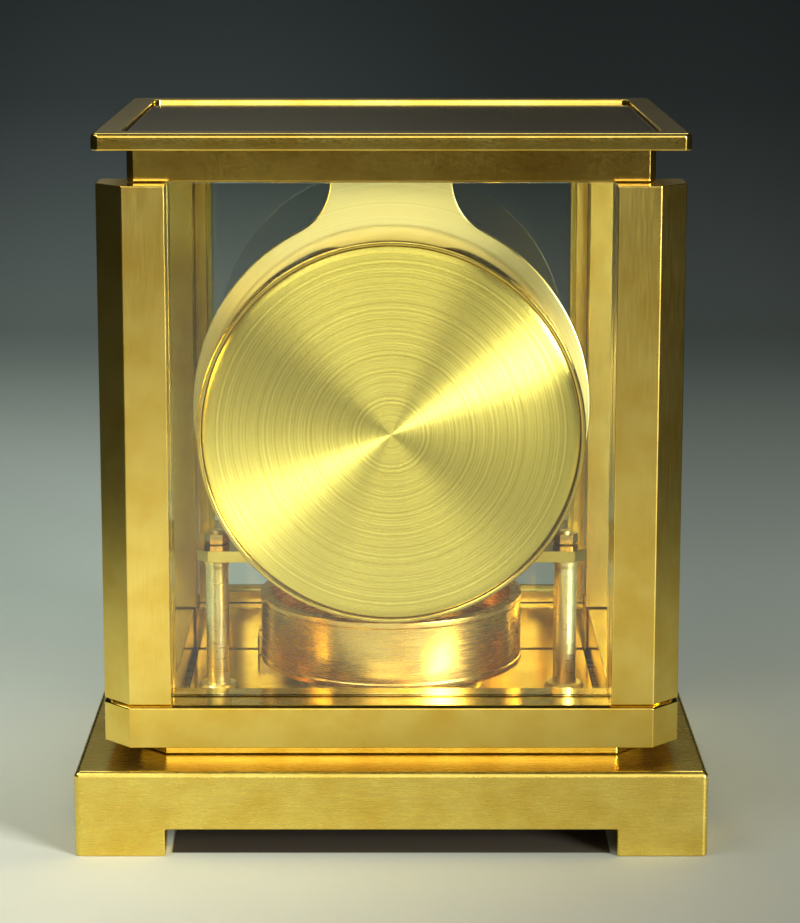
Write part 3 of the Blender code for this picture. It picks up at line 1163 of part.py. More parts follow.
drum_front = MOUNT_REAR - GAP
cover_face = DRUM_FACE + DRUM_COVER_RECESS
cover_radius = DRUM_RADIUS - DRUM_WALL - GAP
cover_seat = cover_face + DRUM_COVER_THICKNESS + GAP
lip_radius = DRUM_RADIUS - DRUM_WALL
add_piece("drum_shell", turned([
    (DRUM_RADIUS - DRUM_LIP_ROUND, DRUM_FACE), (DRUM_RADIUS, DRUM_FACE + DRUM_LIP_ROUND),
    (DRUM_RADIUS, drum_front), (DRUM_PORT_RADIUS, drum_front), (DRUM_PORT_RADIUS, drum_front - DRUM_WALL),
    (lip_radius - DRUM_COVER_LEDGE, drum_front - DRUM_WALL), (lip_radius - DRUM_COVER_LEDGE, cover_seat),
    (lip_radius, cover_seat), (lip_radius, DRUM_FACE)], drum_point, steps=FINE_STEPS, ring=True), GILT)
add_piece("drum_cover", turned([
    (0, cover_face - DRUM_COVER_CROWN), (cover_radius / 2, cover_face - DRUM_COVER_CROWN / 2),
    (cover_radius, cover_face), (cover_radius, cover_face + DRUM_COVER_THICKNESS),
    (0, cover_face + DRUM_COVER_THICKNESS)], drum_point, steps=FINE_STEPS), BRUSHED_GILT)

bellows_rear = cover_face + DRUM_COVER_THICKNESS + GAP
bellows_front = bellows_rear + BELLOWS_LENGTH
fold_pitch = BELLOWS_LENGTH / BELLOWS_FOLDS
bellows_profile = [(0, bellows_rear), (BELLOWS_END_RADIUS, bellows_rear)]
for fold in range(BELLOWS_FOLDS):
    bellows_profile.append((BELLOWS_RADIUS, bellows_rear + fold_pitch * (fold + 1 / 2)))
    if fold < BELLOWS_FOLDS - 1:
        bellows_profile.append((BELLOWS_RADIUS - BELLOWS_FOLD_DEPTH, bellows_rear + fold_pitch * (fold + 1)))
bellows_profile += [(BELLOWS_END_RADIUS, bellows_front), (0, bellows_front)]
add_piece("bellows_capsule", turned(bellows_profile, drum_point, steps=ROUND_STEPS), BRASS)

pusher_rear = bellows_front + GAP
pusher_front = pusher_rear + PUSHER_THICKNESS
boss_end = pusher_front + PUSHER_BOSS_LENGTH
add_piece("bellows_pusher", turned([
    (0, pusher_rear), (PUSHER_RADIUS, pusher_rear), (PUSHER_RADIUS, pusher_front),
    (PUSHER_BOSS_RADIUS, pusher_front), (PUSHER_BOSS_RADIUS, boss_end), (0, boss_end)], drum_point,
    steps=SMALL_STEPS + NUT_SIDES), STEEL, (0, pusher_rear, DRUM_HEIGHT))


def wire_piece(name, points, radius, material):
    """Round wire along a row of points, as one closed tube."""
    line = bpy.data.curves.new(name, "CURVE")
    line.dimensions = "3D"
    line.bevel_depth = radius
    line.bevel_resolution = 1
    line.use_fill_caps = True
    line.twist_mode = "MINIMUM"
    spline = line.splines.new("POLY")
    spline.points.add(len(points) - 1)
    for target, point in zip(spline.points, points):
        target.co = (*point, 1.0)
    line.materials.append(material)
    wire = bpy.data.objects.new(name, line)
    scene.collection.objects.link(wire)


coil_rear = pusher_front + GAP + RETURN_WIRE_RADIUS
coil_front = drum_front - DRUM_WALL - GAP - RETURN_WIRE_RADIUS
coil_points = []
for step in range(RETURN_TURNS * RETURN_STEPS + 1):
    swept = step / (RETURN_TURNS * RETURN_STEPS)
    across, up = polar(drum_point, RETURN_COIL_RADIUS, math.tau * RETURN_TURNS * swept)
    coil_points.append((across, coil_rear + (coil_front - coil_rear) * swept, up))
coil_gap = (coil_front - coil_rear) / RETURN_TURNS - 2 * RETURN_WIRE_RADIUS
print("least gap between the return spring's turns, in metres:", coil_gap)
wire_piece("return_spring", coil_points, RETURN_WIRE_RADIUS, BLUED_STEEL)

# Chain from the pusher, over the rim of the port, to the pulley on the winding arbor

wrap_radius = groove_radius + CHAIN_RADIUS + GAP
to_drum = math.atan2(drum_point[1] - barrel_point[1], drum_point[0] - barrel_point[0])
distance = math.dist(drum_point, barrel_point)
touch_angle = to_drum - math.acos(wrap_radius / distance)
touch_point = polar(barrel_point, wrap_radius, touch_angle)
run_direction = math.atan2(touch_point[1] - drum_point[1], touch_point[0] - drum_point[0])
bend_start = chain_depth - CHAIN_BEND_RADIUS
chain_points = [(drum_point[0], boss_end + GAP, drum_point[1])]
for step in range(CHAIN_BEND_STEPS + 1):
    angle = math.radians(90) * step / CHAIN_BEND_STEPS
    along = CHAIN_BEND_RADIUS * (1 - math.cos(angle))
    across, up = polar(drum_point, along, run_direction)
    chain_points.append((across, bend_start + CHAIN_BEND_RADIUS * math.sin(angle), up))
run_start = polar(drum_point, CHAIN_BEND_RADIUS, run_direction)
for step in range(1, CHAIN_RUN_STEPS + 1):
    share = step / CHAIN_RUN_STEPS
    chain_points.append((run_start[0] + (touch_point[0] - run_start[0]) * share, chain_depth,
                         run_start[1] + (touch_point[1] - run_start[1]) * share))
for step in range(1, CHAIN_WRAP_STEPS + 1):
    across, up = polar(barrel_point, wrap_radius, touch_angle - CHAIN_WRAP * step / CHAIN_WRAP_STEPS)
    chain_points.append((across, chain_depth, up))
wire_piece("winding_chain", chain_points, CHAIN_RADIUS, STEEL)
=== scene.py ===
"""Looks of the atmospheric clock: a gilt, glazed case with its capsule drum to the rear.

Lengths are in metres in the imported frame: X right, Y from the drum to the dial, +Z up.
"""
import json
import math

import bmesh
import bpy
import numpy as np
from mathutils import Matrix, Vector

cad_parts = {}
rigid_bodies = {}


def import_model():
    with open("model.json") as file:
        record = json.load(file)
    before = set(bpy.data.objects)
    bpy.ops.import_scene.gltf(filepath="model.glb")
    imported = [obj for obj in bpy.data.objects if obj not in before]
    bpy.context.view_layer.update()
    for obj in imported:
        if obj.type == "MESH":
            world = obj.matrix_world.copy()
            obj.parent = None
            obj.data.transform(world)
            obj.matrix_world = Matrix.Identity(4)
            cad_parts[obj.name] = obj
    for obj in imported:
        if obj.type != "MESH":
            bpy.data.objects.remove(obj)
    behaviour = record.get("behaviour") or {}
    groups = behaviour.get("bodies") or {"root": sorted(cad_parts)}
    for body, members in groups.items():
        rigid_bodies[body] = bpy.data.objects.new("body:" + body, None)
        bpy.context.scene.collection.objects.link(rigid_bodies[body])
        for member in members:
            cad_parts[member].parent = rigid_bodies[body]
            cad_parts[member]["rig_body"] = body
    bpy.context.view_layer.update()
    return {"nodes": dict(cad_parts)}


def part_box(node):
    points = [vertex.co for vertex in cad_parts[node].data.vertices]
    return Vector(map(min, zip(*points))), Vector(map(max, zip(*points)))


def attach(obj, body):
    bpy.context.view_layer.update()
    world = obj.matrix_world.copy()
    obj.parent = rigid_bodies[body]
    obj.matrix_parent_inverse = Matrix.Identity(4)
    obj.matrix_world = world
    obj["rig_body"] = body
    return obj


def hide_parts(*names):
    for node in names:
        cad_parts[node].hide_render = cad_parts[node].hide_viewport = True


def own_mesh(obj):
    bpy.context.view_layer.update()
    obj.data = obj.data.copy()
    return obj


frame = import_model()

MM = 0.001
scene = bpy.context.scene


def placed(name, data):
    """Object of a mesh, lamp or camera, linked to the scene."""
    thing = bpy.data.objects.new(name, data)
    scene.collection.objects.link(thing)
    return thing


# Camera: a long lens at the photograph's angle, looking slightly down on the rear of the case
CAMERA_PLACE = (0.0, -0.9558, 0.3184)
CAMERA_PITCH_DEG = 10.0
CAMERA_LENS_MM = 107.5
CAMERA_SENSOR_MM = 36.0
CAMERA_SHIFT_RIGHT = 0.0095
CAMERA_SHIFT_UP = -0.10

camera_data = bpy.data.cameras.new("camera")
camera_data.lens = CAMERA_LENS_MM
camera_data.sensor_width = CAMERA_SENSOR_MM
camera_data.shift_x = CAMERA_SHIFT_RIGHT
camera_data.shift_y = CAMERA_SHIFT_UP
camera = placed("camera", camera_data)
camera.location = CAMERA_PLACE
camera.rotation_euler = (math.radians(90 - CAMERA_PITCH_DEG), 0, 0)
scene.camera = camera
scene.view_settings.view_transform = "Standard"


# Colour and node helpers

def linear(hexa):
    """sRGB hex such as E6C35C turned to linear light."""
    shares = [int(hexa[start:start + 2], 16) / 255 for start in (0, 2, 4)]
    return (*[share / 12.92 if share <= 0.04045 else ((share + 0.055) / 1.055) ** 2.4 for share in shares],
            1.0)


def add_node(material, kind, inputs=None, stops=(), **settings):
    """One shader node with its settings and links.

    An input is a value, or (node, output) to link from. Stops are (position, colour) along a colour ramp.
    """
    node = material.node_tree.nodes.new("ShaderNode" + kind)
    for key, value in settings.items():
        setattr(node, key, value)
    for key, value in (inputs or {}).items():
        if isinstance(value, tuple) and len(value) == 2 and hasattr(value[0], "outputs"):
            material.node_tree.links.new(value[0].outputs[value[1]], node.inputs[key])
        else:
            node.inputs[key].default_value = value
    for _ in stops[2:]:
        node.color_ramp.elements.new(0.5)
    if stops:
        for element, (position, colour) in zip(node.color_ramp.elements, stops):
            element.position = position
            element.color = colour
    return node


def new_material(name):
    """Empty node material with its Principled shader."""
    material = bpy.data.materials.new(name)
    material.use_nodes = True
    shader = material.node_tree.nodes["Principled BSDF"]
    return material, shader


def plug(material, shader, socket, source):
    """Link (node, output) into a shader's socket."""
    material.node_tree.links.new(source[0].outputs[source[1]], shader.inputs[socket])


# Metals

# Width of the faint waves that polishing by hand leaves
POLISH_WAVE_MM = 9.0


def polished_metal(name, tint, deep, roughness, cloud_mm=14.0, ripple=0.02,
                   grain=(1.0, 1.0, 1.0), marks_mm=0.9, marks_relief=0.03):
    """Polished metal: tint clouds over a deeper tone, fine polishing marks, a faint ripple in the gloss."""
    material, shader = new_material(name)
    shader.inputs["Metallic"].default_value = 1.0
    place = (add_node(material, "TexCoord"), "Object")
    cloud = add_node(material, "TexNoise", {"Vector": place, "Scale": 1 / (cloud_mm * MM), "Detail": 4.0,
                                            "Roughness": 0.55})
    tone = add_node(material, "ValToRGB", {"Fac": (cloud, "Fac")},
                    stops=[(0.30, linear(deep)), (0.62, linear(tint))])
    plug(material, shader, "Base Color", (tone, "Color"))
    lines = add_node(material, "Mapping", {"Vector": place, "Scale": grain})
    marks = add_node(material, "TexNoise", {"Vector": (lines, "Vector"), "Scale": 1 / (marks_mm * MM),
                                            "Detail": 5.0, "Roughness": 0.6})
    rough = add_node(material, "MapRange", {"Value": (marks, "Fac"), "From Min": 0.30, "From Max": 0.70,
                                            "To Min": roughness * 0.86, "To Max": roughness * 1.18})
    plug(material, shader, "Roughness", (rough, "Result"))
    swell = add_node(material, "TexNoise", {"Vector": place, "Scale": 1 / (POLISH_WAVE_MM * MM),
                                            "Detail": 1.0})
    broad = add_node(material, "Bump", {"Height": (swell, "Fac"), "Strength": ripple, "Distance": 1.0 * MM})
    fine = add_node(material, "Bump", {"Height": (marks, "Fac"), "Strength": marks_relief,
                                       "Distance": 0.05 * MM, "Normal": (broad, "Normal")})
    plug(material, shader, "Normal", (fine, "Normal"))
    return material


# Gilt brass, polished and lacquered: warm mirror with a soft bloom
GILT = polished_metal("gilt_brass_polished", "EFD26A", "E3BE50", 0.14)
# Gilt brass with a straight satin grain along X, as on the plinth: lights on it stretch upwards
GILT_SATIN_X = polished_metal("gilt_brass_satin_along_x", "EFD66C", "E3C254", 0.26, grain=(0.04, 1.0, 1.0),
                              marks_mm=0.5, marks_relief=0.012)
# Gilt brass with its grain run upwards, as on the posts: lights on it stretch sideways
GILT_SATIN_Z = polished_metal("gilt_brass_satin_along_z", "EED36E", "E2C056", 0.20, grain=(1.0, 1.0, 0.04),
                              marks_mm=0.5, marks_relief=0.010)
# Gilding of the frieze, darker than the rest as painted shade for its place under the top plate's overhang,
# and still glossy
FRIEZE_SHADED_GILT = polished_metal("gilt_brass_painted_shade", "E6C45C", "C29A3C", 0.14, cloud_mm=30.0)
# Gilt brass of the columns, with the fine rings of the last turning cut
COLUMN_GILT = polished_metal("gilt_brass_fine_turned", "FFF2B0", "FCE490", 0.30, ripple=0.0,
                             grain=(0.1, 0.1, 1.0), marks_mm=0.5, marks_relief=0.002)
# Rose gilt on the balance: copper warmth, with the fine rings of its turning
ROSE_GILT = polished_metal("rose_gilt_turned", "FFDA80", "FCC462", 0.26, cloud_mm=30.0, ripple=0.01,
                           grain=(0.05, 0.05, 1.0), marks_mm=0.35, marks_relief=0.0015)
# Gilt brass of the drum's shell, turned and polished: a mirror with faint lines round it
SHELL_GILT = polished_metal("gilt_brass_turned_shell", "EFD06C", "DDB950", 0.12, grain=(0.15, 1.0, 0.15))
# Turned brass of the train, left without lacquer: a little duller and paler than the case
TRAIN_BRASS = polished_metal("turned_brass", "D9B871", "C39D52", 0.24, cloud_mm=6.0)
# Brass plates with a fine vertical grain: a soft even gloss
PLATE_BRASS = polished_metal("grained_plate_brass", "E6CC88", "DCBC70", 0.28, cloud_mm=40.0,
                             grain=(1.0, 1.0, 0.05), marks_mm=0.4, marks_relief=0.002)
# Polished steel of the levers and arbors: a cool grey mirror, softened by fine marks
STEEL = polished_metal("polished_steel", "C9CCCE", "A9ADB0", 0.18, cloud_mm=5.0)
# Spring steel, tempered: blue-grey with a dull gloss
SPRING_STEEL = polished_metal("tempered_spring_steel", "6C7480", "4A5361", 0.24, cloud_mm=4.0)


# Spacing of the circular brush lines, as coarse as still shows
BRUSH_LINE_MM = 0.8


def circular_brushed(name, tint, deep, centre, roughness, anisotropy):
    """Gilt brass brushed in circles about a Y axis: the gloss fans out along each radius."""
    material, shader = new_material(name)
    shader.inputs["Metallic"].default_value = 1.0
    shader.inputs["Anisotropic"].default_value = anisotropy
    place = (add_node(material, "TexCoord"), "Object")
    arm = add_node(material, "VectorMath", {0: place, 1: centre}, operation="SUBTRACT")
    flat = add_node(material, "VectorMath", {0: (arm, "Vector"), 1: (1.0, 0.0, 1.0)}, operation="MULTIPLY")
    reach = add_node(material, "VectorMath", {0: (flat, "Vector")}, operation="LENGTH")
    radial = add_node(material, "VectorMath", {0: (flat, "Vector")}, operation="NORMALIZE")
    plug(material, shader, "Tangent", (radial, "Vector"))
    rings = add_node(material, "TexNoise", {"W": (reach, "Value"), "Scale": 1 / (BRUSH_LINE_MM * MM),
                                            "Detail": 3.0, "Roughness": 0.7}, noise_dimensions="1D")
    tone = add_node(material, "ValToRGB", {"Fac": (rings, "Fac")},
                    stops=[(0.22, linear(deep)), (0.70, linear(tint))])
    plug(material, shader, "Base Color", (tone, "Color"))
    rough = add_node(material, "MapRange", {"Value": (rings, "Fac"), "From Min": 0.3, "From Max": 0.7,
                                            "To Min": roughness * 0.90, "To Max": roughness * 1.12})
    plug(material, shader, "Roughness", (rough, "Result"))
    lines = add_node(material, "Bump", {"Height": (rings, "Fac"), "Strength": 0.04, "Distance": 0.04 * MM})
    plug(material, shader, "Normal", (lines, "Normal"))
    return material


# Width of the patches that hands leave on glass, and of specks of dust
FILM_MM = 30.0
DUST_MM = 2.2


def glass_pane(name, tint):
    """Plate glass that lets lamps through, with a faint film of handling on it."""
    material, shader = new_material(name)
    shader.inputs["Base Color"].default_value = linear(tint)
    shader.inputs["Transmission Weight"].default_value = 1.0
    shader.inputs["IOR"].default_value = 1.50
    place = (add_node(material, "TexCoord"), "Object")
    film = add_node(material, "TexNoise", {"Vector": place, "Scale": 1 / (FILM_MM * MM), "Detail": 3.0})
    rough = add_node(material, "MapRange", {"Value": (film, "Fac"), "From Min": 0.45, "From Max": 0.75,
                                            "To Min": 0.0, "To Max": 0.015})
    plug(material, shader, "Roughness", (rough, "Result"))
    ray = add_node(material, "LightPath")
    clear = add_node(material, "BsdfTransparent", {"Color": linear(tint)})
    either = add_node(material, "MixShader", {0: (ray, "Is Shadow Ray"), 1: (shader, "BSDF"),
                                              2: (clear, "BSDF")})
    output = material.node_tree.nodes["Material Output"]
    material.node_tree.links.new(either.outputs[0], output.inputs["Surface"])
    return material


DRUM_CENTRE = (0.0, -0.055, 0.138)
# Gilt brass disc, brushed in circles on the lathe: its gloss spreads into two fans
DRUM_GILT = circular_brushed("gilt_brass_circular_brushed", "FCE87E", "E2C654", DRUM_CENTRE, 0.23, 1.0)
# The same brushing on the mounting plate, in a lighter tint than the drum: painted light on the plate, which
# the frieze and the drum shade
MOUNT_PAINTED_LIGHT_GILT = circular_brushed("gilt_brass_brushed_plate_painted_light", "FFF3AE", "FAE796", DRUM_CENTRE, 0.32, 0.60)
# Clear plate glass of the case and the door: seen only by its edges and the lamps in it
CLEAR_GLASS = glass_pane("plate_glass_clear", "F4FAF6")


def dark_pane(name):
    """Black glass insert: a deep body under a polished face, with a trace of dust."""
    material, shader = new_material(name)
    place = (add_node(material, "TexCoord"), "Object")
    dust = add_node(material, "TexNoise", {"Vector": place, "Scale": 1 / (DUST_MM * MM), "Detail": 6.0})
    tone = add_node(material, "ValToRGB", {"Fac": (dust, "Fac")},
                    stops=[(0.45, linear("2E2812")), (0.80, linear("3A3218"))])
    plug(material, shader, "Base Color", (tone, "Color"))
    shader.inputs["IOR"].default_value = 1.52
    rough = add_node(material, "MapRange", {"Value": (dust, "Fac"), "From Min": 0.4, "From Max": 0.8,
                                            "To Min": 0.07, "To Max": 0.10})
    plug(material, shader, "Roughness", (rough, "Result"))
    return material


# Width of the lacquer's tone clouds, and of its grain
LACQUER_CLOUD_MM = 9.0
LACQUER_GRAIN_MM = 0.25


def enamel(name, pale, warm):
    """Lacquer or print on the dial: satin, with a fine even grain under a thin clear coat."""
    material, shader = new_material(name)
    place = (add_node(material, "TexCoord"), "Object")
    cloud = add_node(material, "TexNoise", {"Vector": place, "Scale": 1 / (LACQUER_CLOUD_MM * MM),
                                            "Detail": 3.0})
    tone = add_node(material, "ValToRGB", {"Fac": (cloud, "Fac")},
                    stops=[(0.35, linear(warm)), (0.65, linear(pale))])
    plug(material, shader, "Base Color", (tone, "Color"))
    grain = add_node(material, "TexNoise", {"Vector": place, "Scale": 1 / (LACQUER_GRAIN_MM * MM),
                                            "Detail": 2.0})
    rough = add_node(material, "MapRange", {"Value": (grain, "Fac"), "To Min": 0.28, "To Max": 0.42})
    plug(material, shader, "Roughness", (rough, "Result"))
    grit = add_node(material, "Bump", {"Height": (grain, "Fac"), "Strength": 0.08, "Distance": 0.02 * MM})
    plug(material, shader, "Normal", (grit, "Normal"))
    shader.inputs["Coat Weight"].default_value = 0.25
    return material


# Black plate glass let into the top, polished: a dark mirror over a warm brown body
BLACK_GLASS = dark_pane("black_glass_polished")
# Lacquer of the dial ring, sprayed: an even warm white with a soft sheen
DIAL_ENAMEL = enamel("dial_lacquer_white", "F2EEDF", "E6DFC8")
# Ink of the track and numerals, printed thickly: satin black
TRACK_PAINT = enamel("dial_print_black", "1A1917", "121110")
# Spirit in the level's glass vial: clear yellow-green
LEVEL_SPIRIT = glass_pane("green_level_spirit", "B8D84A")


# Shapes

def body_of(node):
    """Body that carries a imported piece."""
    return frame["nodes"][node]["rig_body"]


def build(name, points, faces, material, body, replaced):
    """Mesh object from points and faces: doubles merged, faces turned out, riding its body."""
    mesh = bpy.data.meshes.new(name)
    corners = np.asarray(points, float).reshape(-1, 3).tolist()
    mesh.from_pydata(corners, [], [list(map(int, face)) for face in faces])
    shape = bmesh.new()
    shape.from_mesh(mesh)
    bmesh.ops.remove_doubles(shape, verts=shape.verts, dist=1e-7)
    bmesh.ops.dissolve_degenerate(shape, edges=shape.edges, dist=1e-7)
    bmesh.ops.recalc_face_normals(shape, faces=shape.faces)
    shape.to_mesh(mesh)
    shape.free()
    return dressed(mesh, name, material, body, replaced, 40)


def dressed(mesh, name, material, body, replaced, smooth_deg):
    """Object of a finished mesh, with its material, its body and the nodes it stands for."""
    mesh.materials.clear()
    mesh.materials.append(material)
    mesh.shade_smooth()
    mesh.set_sharp_from_angle(angle=math.radians(smooth_deg))
    piece = placed(name, mesh)
    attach(piece, body)
    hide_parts(*replaced)
    return piece


def grid_faces(rows, columns, wrap_rows=False, wrap_columns=True):
    """Quads of a rows by columns grid, as whole index arrays."""
    row = np.arange(rows if wrap_rows else rows - 1)
    column = np.arange(columns if wrap_columns else columns - 1)
    row, column = [numbers.ravel() for numbers in np.meshgrid(row, column, indexing="ij")]
    below = (row + 1) % rows
    after = (column + 1) % columns
    return np.stack([row * columns + column, row * columns + after, below * columns + after,
                     below * columns + column], 1)


# Straight lengths of an eased corner's curve, and points up the flank of a tooth
CORNER_STEPS = 4
FLANK_POINTS = 5


def eased(profile, radius, ring):
    """Profile with each corner a quadratic curve that starts radius away, or nearer on short sides."""
    points = np.asarray(profile, float)
    count = len(points)
    result = []
    for index in range(count):
        here = points[index]
        if not ring and index in (0, count - 1):
            result.append(here)
            continue
        back = points[index - 1] - here
        onward = points[(index + 1) % count] - here
        back_length = np.linalg.norm(back)
        onward_length = np.linalg.norm(onward)
        reach = min(radius, 0.45 * back_length, 0.45 * onward_length)
        start = here + back / max(back_length, 1e-9) * reach
        end = here + onward / max(onward_length, 1e-9) * reach
        share = np.linspace(0, 1, CORNER_STEPS + 1)[:, None]
        result.extend((1 - share) ** 2 * start + 2 * share * (1 - share) * here + share ** 2 * end)
    return np.array(result)


# For a turned piece's axis: the two coordinates across it, and the one along it
AXES = {"Y": ((0, 2), 1), "Z": ((0, 1), 2)}


def lathe(name, profile, centre, axis, material, body, replaced, steps=96, ring=False, ease=0.0004):
    """Turned piece: centre + radius (cos t, sin t) across the axis, at the profile's height along it."""
    outline = eased(profile, ease, ring) if ease else np.asarray(profile, float)
    turn = np.linspace(0, math.tau, steps, endpoint=False)
    (first, second), along = AXES[axis]
    points = np.zeros((len(outline), steps, 3))
    points[..., first] = centre[0] + outline[:, :1] * np.cos(turn)
    points[..., second] = centre[1] + outline[:, :1] * np.sin(turn)
    points[..., along] = outline[:, 1:]
    faces = grid_faces(len(outline), steps, wrap_rows=ring).tolist()
    if not ring:
        faces += [list(range(steps)), list(range((len(outline) - 1) * steps, len(outline) * steps))]
    return build(name, points, faces, material, body, replaced)


def softened(node, material, width, segments=3):
    """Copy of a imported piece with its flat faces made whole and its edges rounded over."""
    mesh = frame["nodes"][node].data.copy()
    shape = bmesh.new()
    shape.from_mesh(mesh)
    bmesh.ops.remove_doubles(shape, verts=shape.verts, dist=1e-6)
    bmesh.ops.dissolve_limit(shape, angle_limit=math.radians(1.0), verts=shape.verts, edges=shape.edges)
    edges = [edge for edge in shape.edges
             if len(edge.link_faces) == 2 and edge.calc_face_angle(0) > math.radians(30)]
    bmesh.ops.bevel(shape, geom=edges, offset=width, segments=segments, profile=0.5, affect="EDGES",
                    clamp_overlap=True)
    shape.to_mesh(mesh)
    shape.free()
    piece = dressed(mesh, node + "_finished", material, body_of(node), [node], 35)
    weights = piece.modifiers.new("even_faces", "WEIGHTED_NORMAL")
    weights.keep_sharp = True
    weights.weight = 100
    return piece


def sheet_metal(name, loops, start, end, edge, material, body, replaced, axis="Y"):
    """Flat piece cut from plate: loops across the axis, inner ones as holes, with its edges eased."""
    curve = bpy.data.curves.new(name, "CURVE")
    curve.dimensions = "2D"
    curve.fill_mode = "BOTH"
    curve.extrude = (end - start) / 2 - edge
    curve.bevel_depth = edge
    curve.bevel_resolution = 1
    curve.offset = -edge
    for loop in loops:
        spline = curve.splines.new("POLY")
        spline.points.add(len(loop) - 1)
        flat = np.asarray(loop, float)
        spline.points.foreach_set("co", np.c_[flat, np.zeros(len(flat)), np.ones(len(flat))].ravel())
        spline.use_cyclic_u = True
    pattern = bpy.data.objects.new(name + "_pattern", curve)
    mesh = bpy.data.meshes.new_from_object(pattern)
    bpy.data.objects.remove(pattern)
    points = np.empty(len(mesh.vertices) * 3)
    mesh.vertices.foreach_get("co", points)
    points = points.reshape(-1, 3)
    points[:, 2] += (start + end) / 2 if axis == "Z" else -(start + end) / 2
    if axis == "Y":
        points = np.c_[points[:, 0], -points[:, 2], points[:, 1]]
    mesh.vertices.foreach_set("co", points.ravel())
    mesh.update()
    piece = dressed(mesh, name, material, body, replaced, 30)
    piece.modifiers.new("even_faces", "WEIGHTED_NORMAL").keep_sharp = True
    return piece


def arc(radius, start_deg=0.0, sweep_deg=360.0, steps=96, centre=(0.0, 0.0)):
    """Points of a circle or of part of one; a full circle leaves out its last point."""
    turn = np.radians(start_deg + np.linspace(0, sweep_deg, steps, endpoint=abs(sweep_deg) < 360))
    return np.c_[centre[0] + radius * np.cos(turn), centre[1] + radius * np.sin(turn)]


def offset(start, distance, direction_deg):
    """Point at a distance and direction from another, across the axis."""
    turn = math.radians(direction_deg)
    return (start[0] + distance * math.cos(turn), start[1] + distance * math.sin(turn))


def toothed(teeth, module, centre, phase):
    """Wheel outline with a tooth on the phase angle: each flank a quarter sine wave from root to tip."""
    pitch_radius = module * teeth / 2
    tip = pitch_radius + 0.80 * module
    root = pitch_radius - 1.05 * module
    rise = np.linspace(0, 1, FLANK_POINTS)
    share = np.r_[-0.25 + 0.13 * rise, 0.25 - 0.13 * rise[::-1]]
    radius = root + (tip - root) * np.sin(np.r_[rise, rise[::-1]] * math.pi / 2)
    turn = phase + (np.arange(teeth)[:, None] + share) * math.tau / teeth
    return around(centre, radius, turn)


def around(centre, radius, turn):
    """Points at radii and angles about a centre, as rows."""
    return np.c_[centre[0] + (radius * np.cos(turn)).ravel(), centre[1] + (radius * np.sin(turn)).ravel()]


def crossings(centre, inner, outer, arms, arm_width, phase_deg):
    """Windows between the arms of a crossed-out wheel: two arcs joined by sides along the arms."""
    windows = []
    for index in range(arms):
        middle = phase_deg + 360 / arms * (index + 0.5)
        half_out = 180 / arms - math.degrees(math.asin(arm_width / 2 / outer))
        half_in = 180 / arms - math.degrees(math.asin(arm_width / 2 / inner))
        windows.append(np.r_[arc(outer, middle - half_out, 2 * half_out, 24, centre),
                             arc(inner, middle + half_in, -2 * half_in, 12, centre)])
    return windows


# Case

def dress_case():
    """Plinth, rails, posts, frieze, top plate and door, each with its own brushing and eased edges."""
    softened("plinth", GILT_SATIN_X, 0.0007)
    softened("bottom_rail", GILT, 0.0005)
    for corner in ("rear_left", "rear_right", "front_left", "front_right"):
        softened("post_" + corner, GILT_SATIN_Z, 0.0004)
    # The frieze's darker gilding is painted shade
    softened("frieze", FRIEZE_SHADED_GILT, 0.0005)
    softened("top_plate", GILT, 0.0005)
    softened("top_glass", BLACK_GLASS, 0.0003)
    for side in ("rear", "left", "right"):
        softened("glass_" + side, CLEAR_GLASS, 0.0003)
    softened("door_frame", GILT_SATIN_Z, 0.0003)
    softened("door_glass", CLEAR_GLASS, 0.0002)
    softened("sole_plate", GILT, 0.0004)
    softened("platform", GILT, 0.0004)


dress_case()


# Capsule drum on its mounting plate

# Hand arbor and drum axis as (X, Z), and the height of the mounting plate's straight foot
CENTRE = (0.0, 0.139)
DRUM_AXIS = (0.0, 0.138)
PLATE_FOOT = 0.0876
MOUNT_RADIUS = 0.069
MOUNT_NECK_HALF = 0.021
MOUNT_NECK_TOP = 0.222
MOUNT_NECK_FILLET = 0.020
MOUNT_BORE = 0.005
MOUNT_REAR = -0.013
MOUNT_FRONT = -0.009
DRUM_REAR_MM = -57.0
COVER_RADIUS_MM = 62.9
COVER_DISH_MM = 0.6
COVER_THICKNESS_MM = 1.5
BELLOWS_FOLDS = 5
BELLOWS_REAR_MM = -54.6
BELLOWS_LENGTH_MM = 20.5
BELLOWS_RADIUS_MM = 53.0
BELLOWS_FOLD_DEPTH_MM = 3.0


def footed_disc(radius, neck_half, neck_top, fillet):
    """Disc about the hand arbor on a straight foot, run up into a neck through hollow fillets."""
    foot = math.degrees(math.asin((CENTRE[1] - PLATE_FOOT) / radius))
    lean = math.degrees(math.acos((neck_half + fillet) / (radius + fillet)))
    fillet_centre = arc(radius + fillet, lean, 0.1, 2, CENTRE)[0]
    right = np.r_[arc(radius, -foot, lean + foot, 70, CENTRE),
                  arc(fillet, 180 + lean, -lean, 24, fillet_centre), [[neck_half, neck_top]]]
    return np.r_[right, right[::-1] * (-1, 1)]


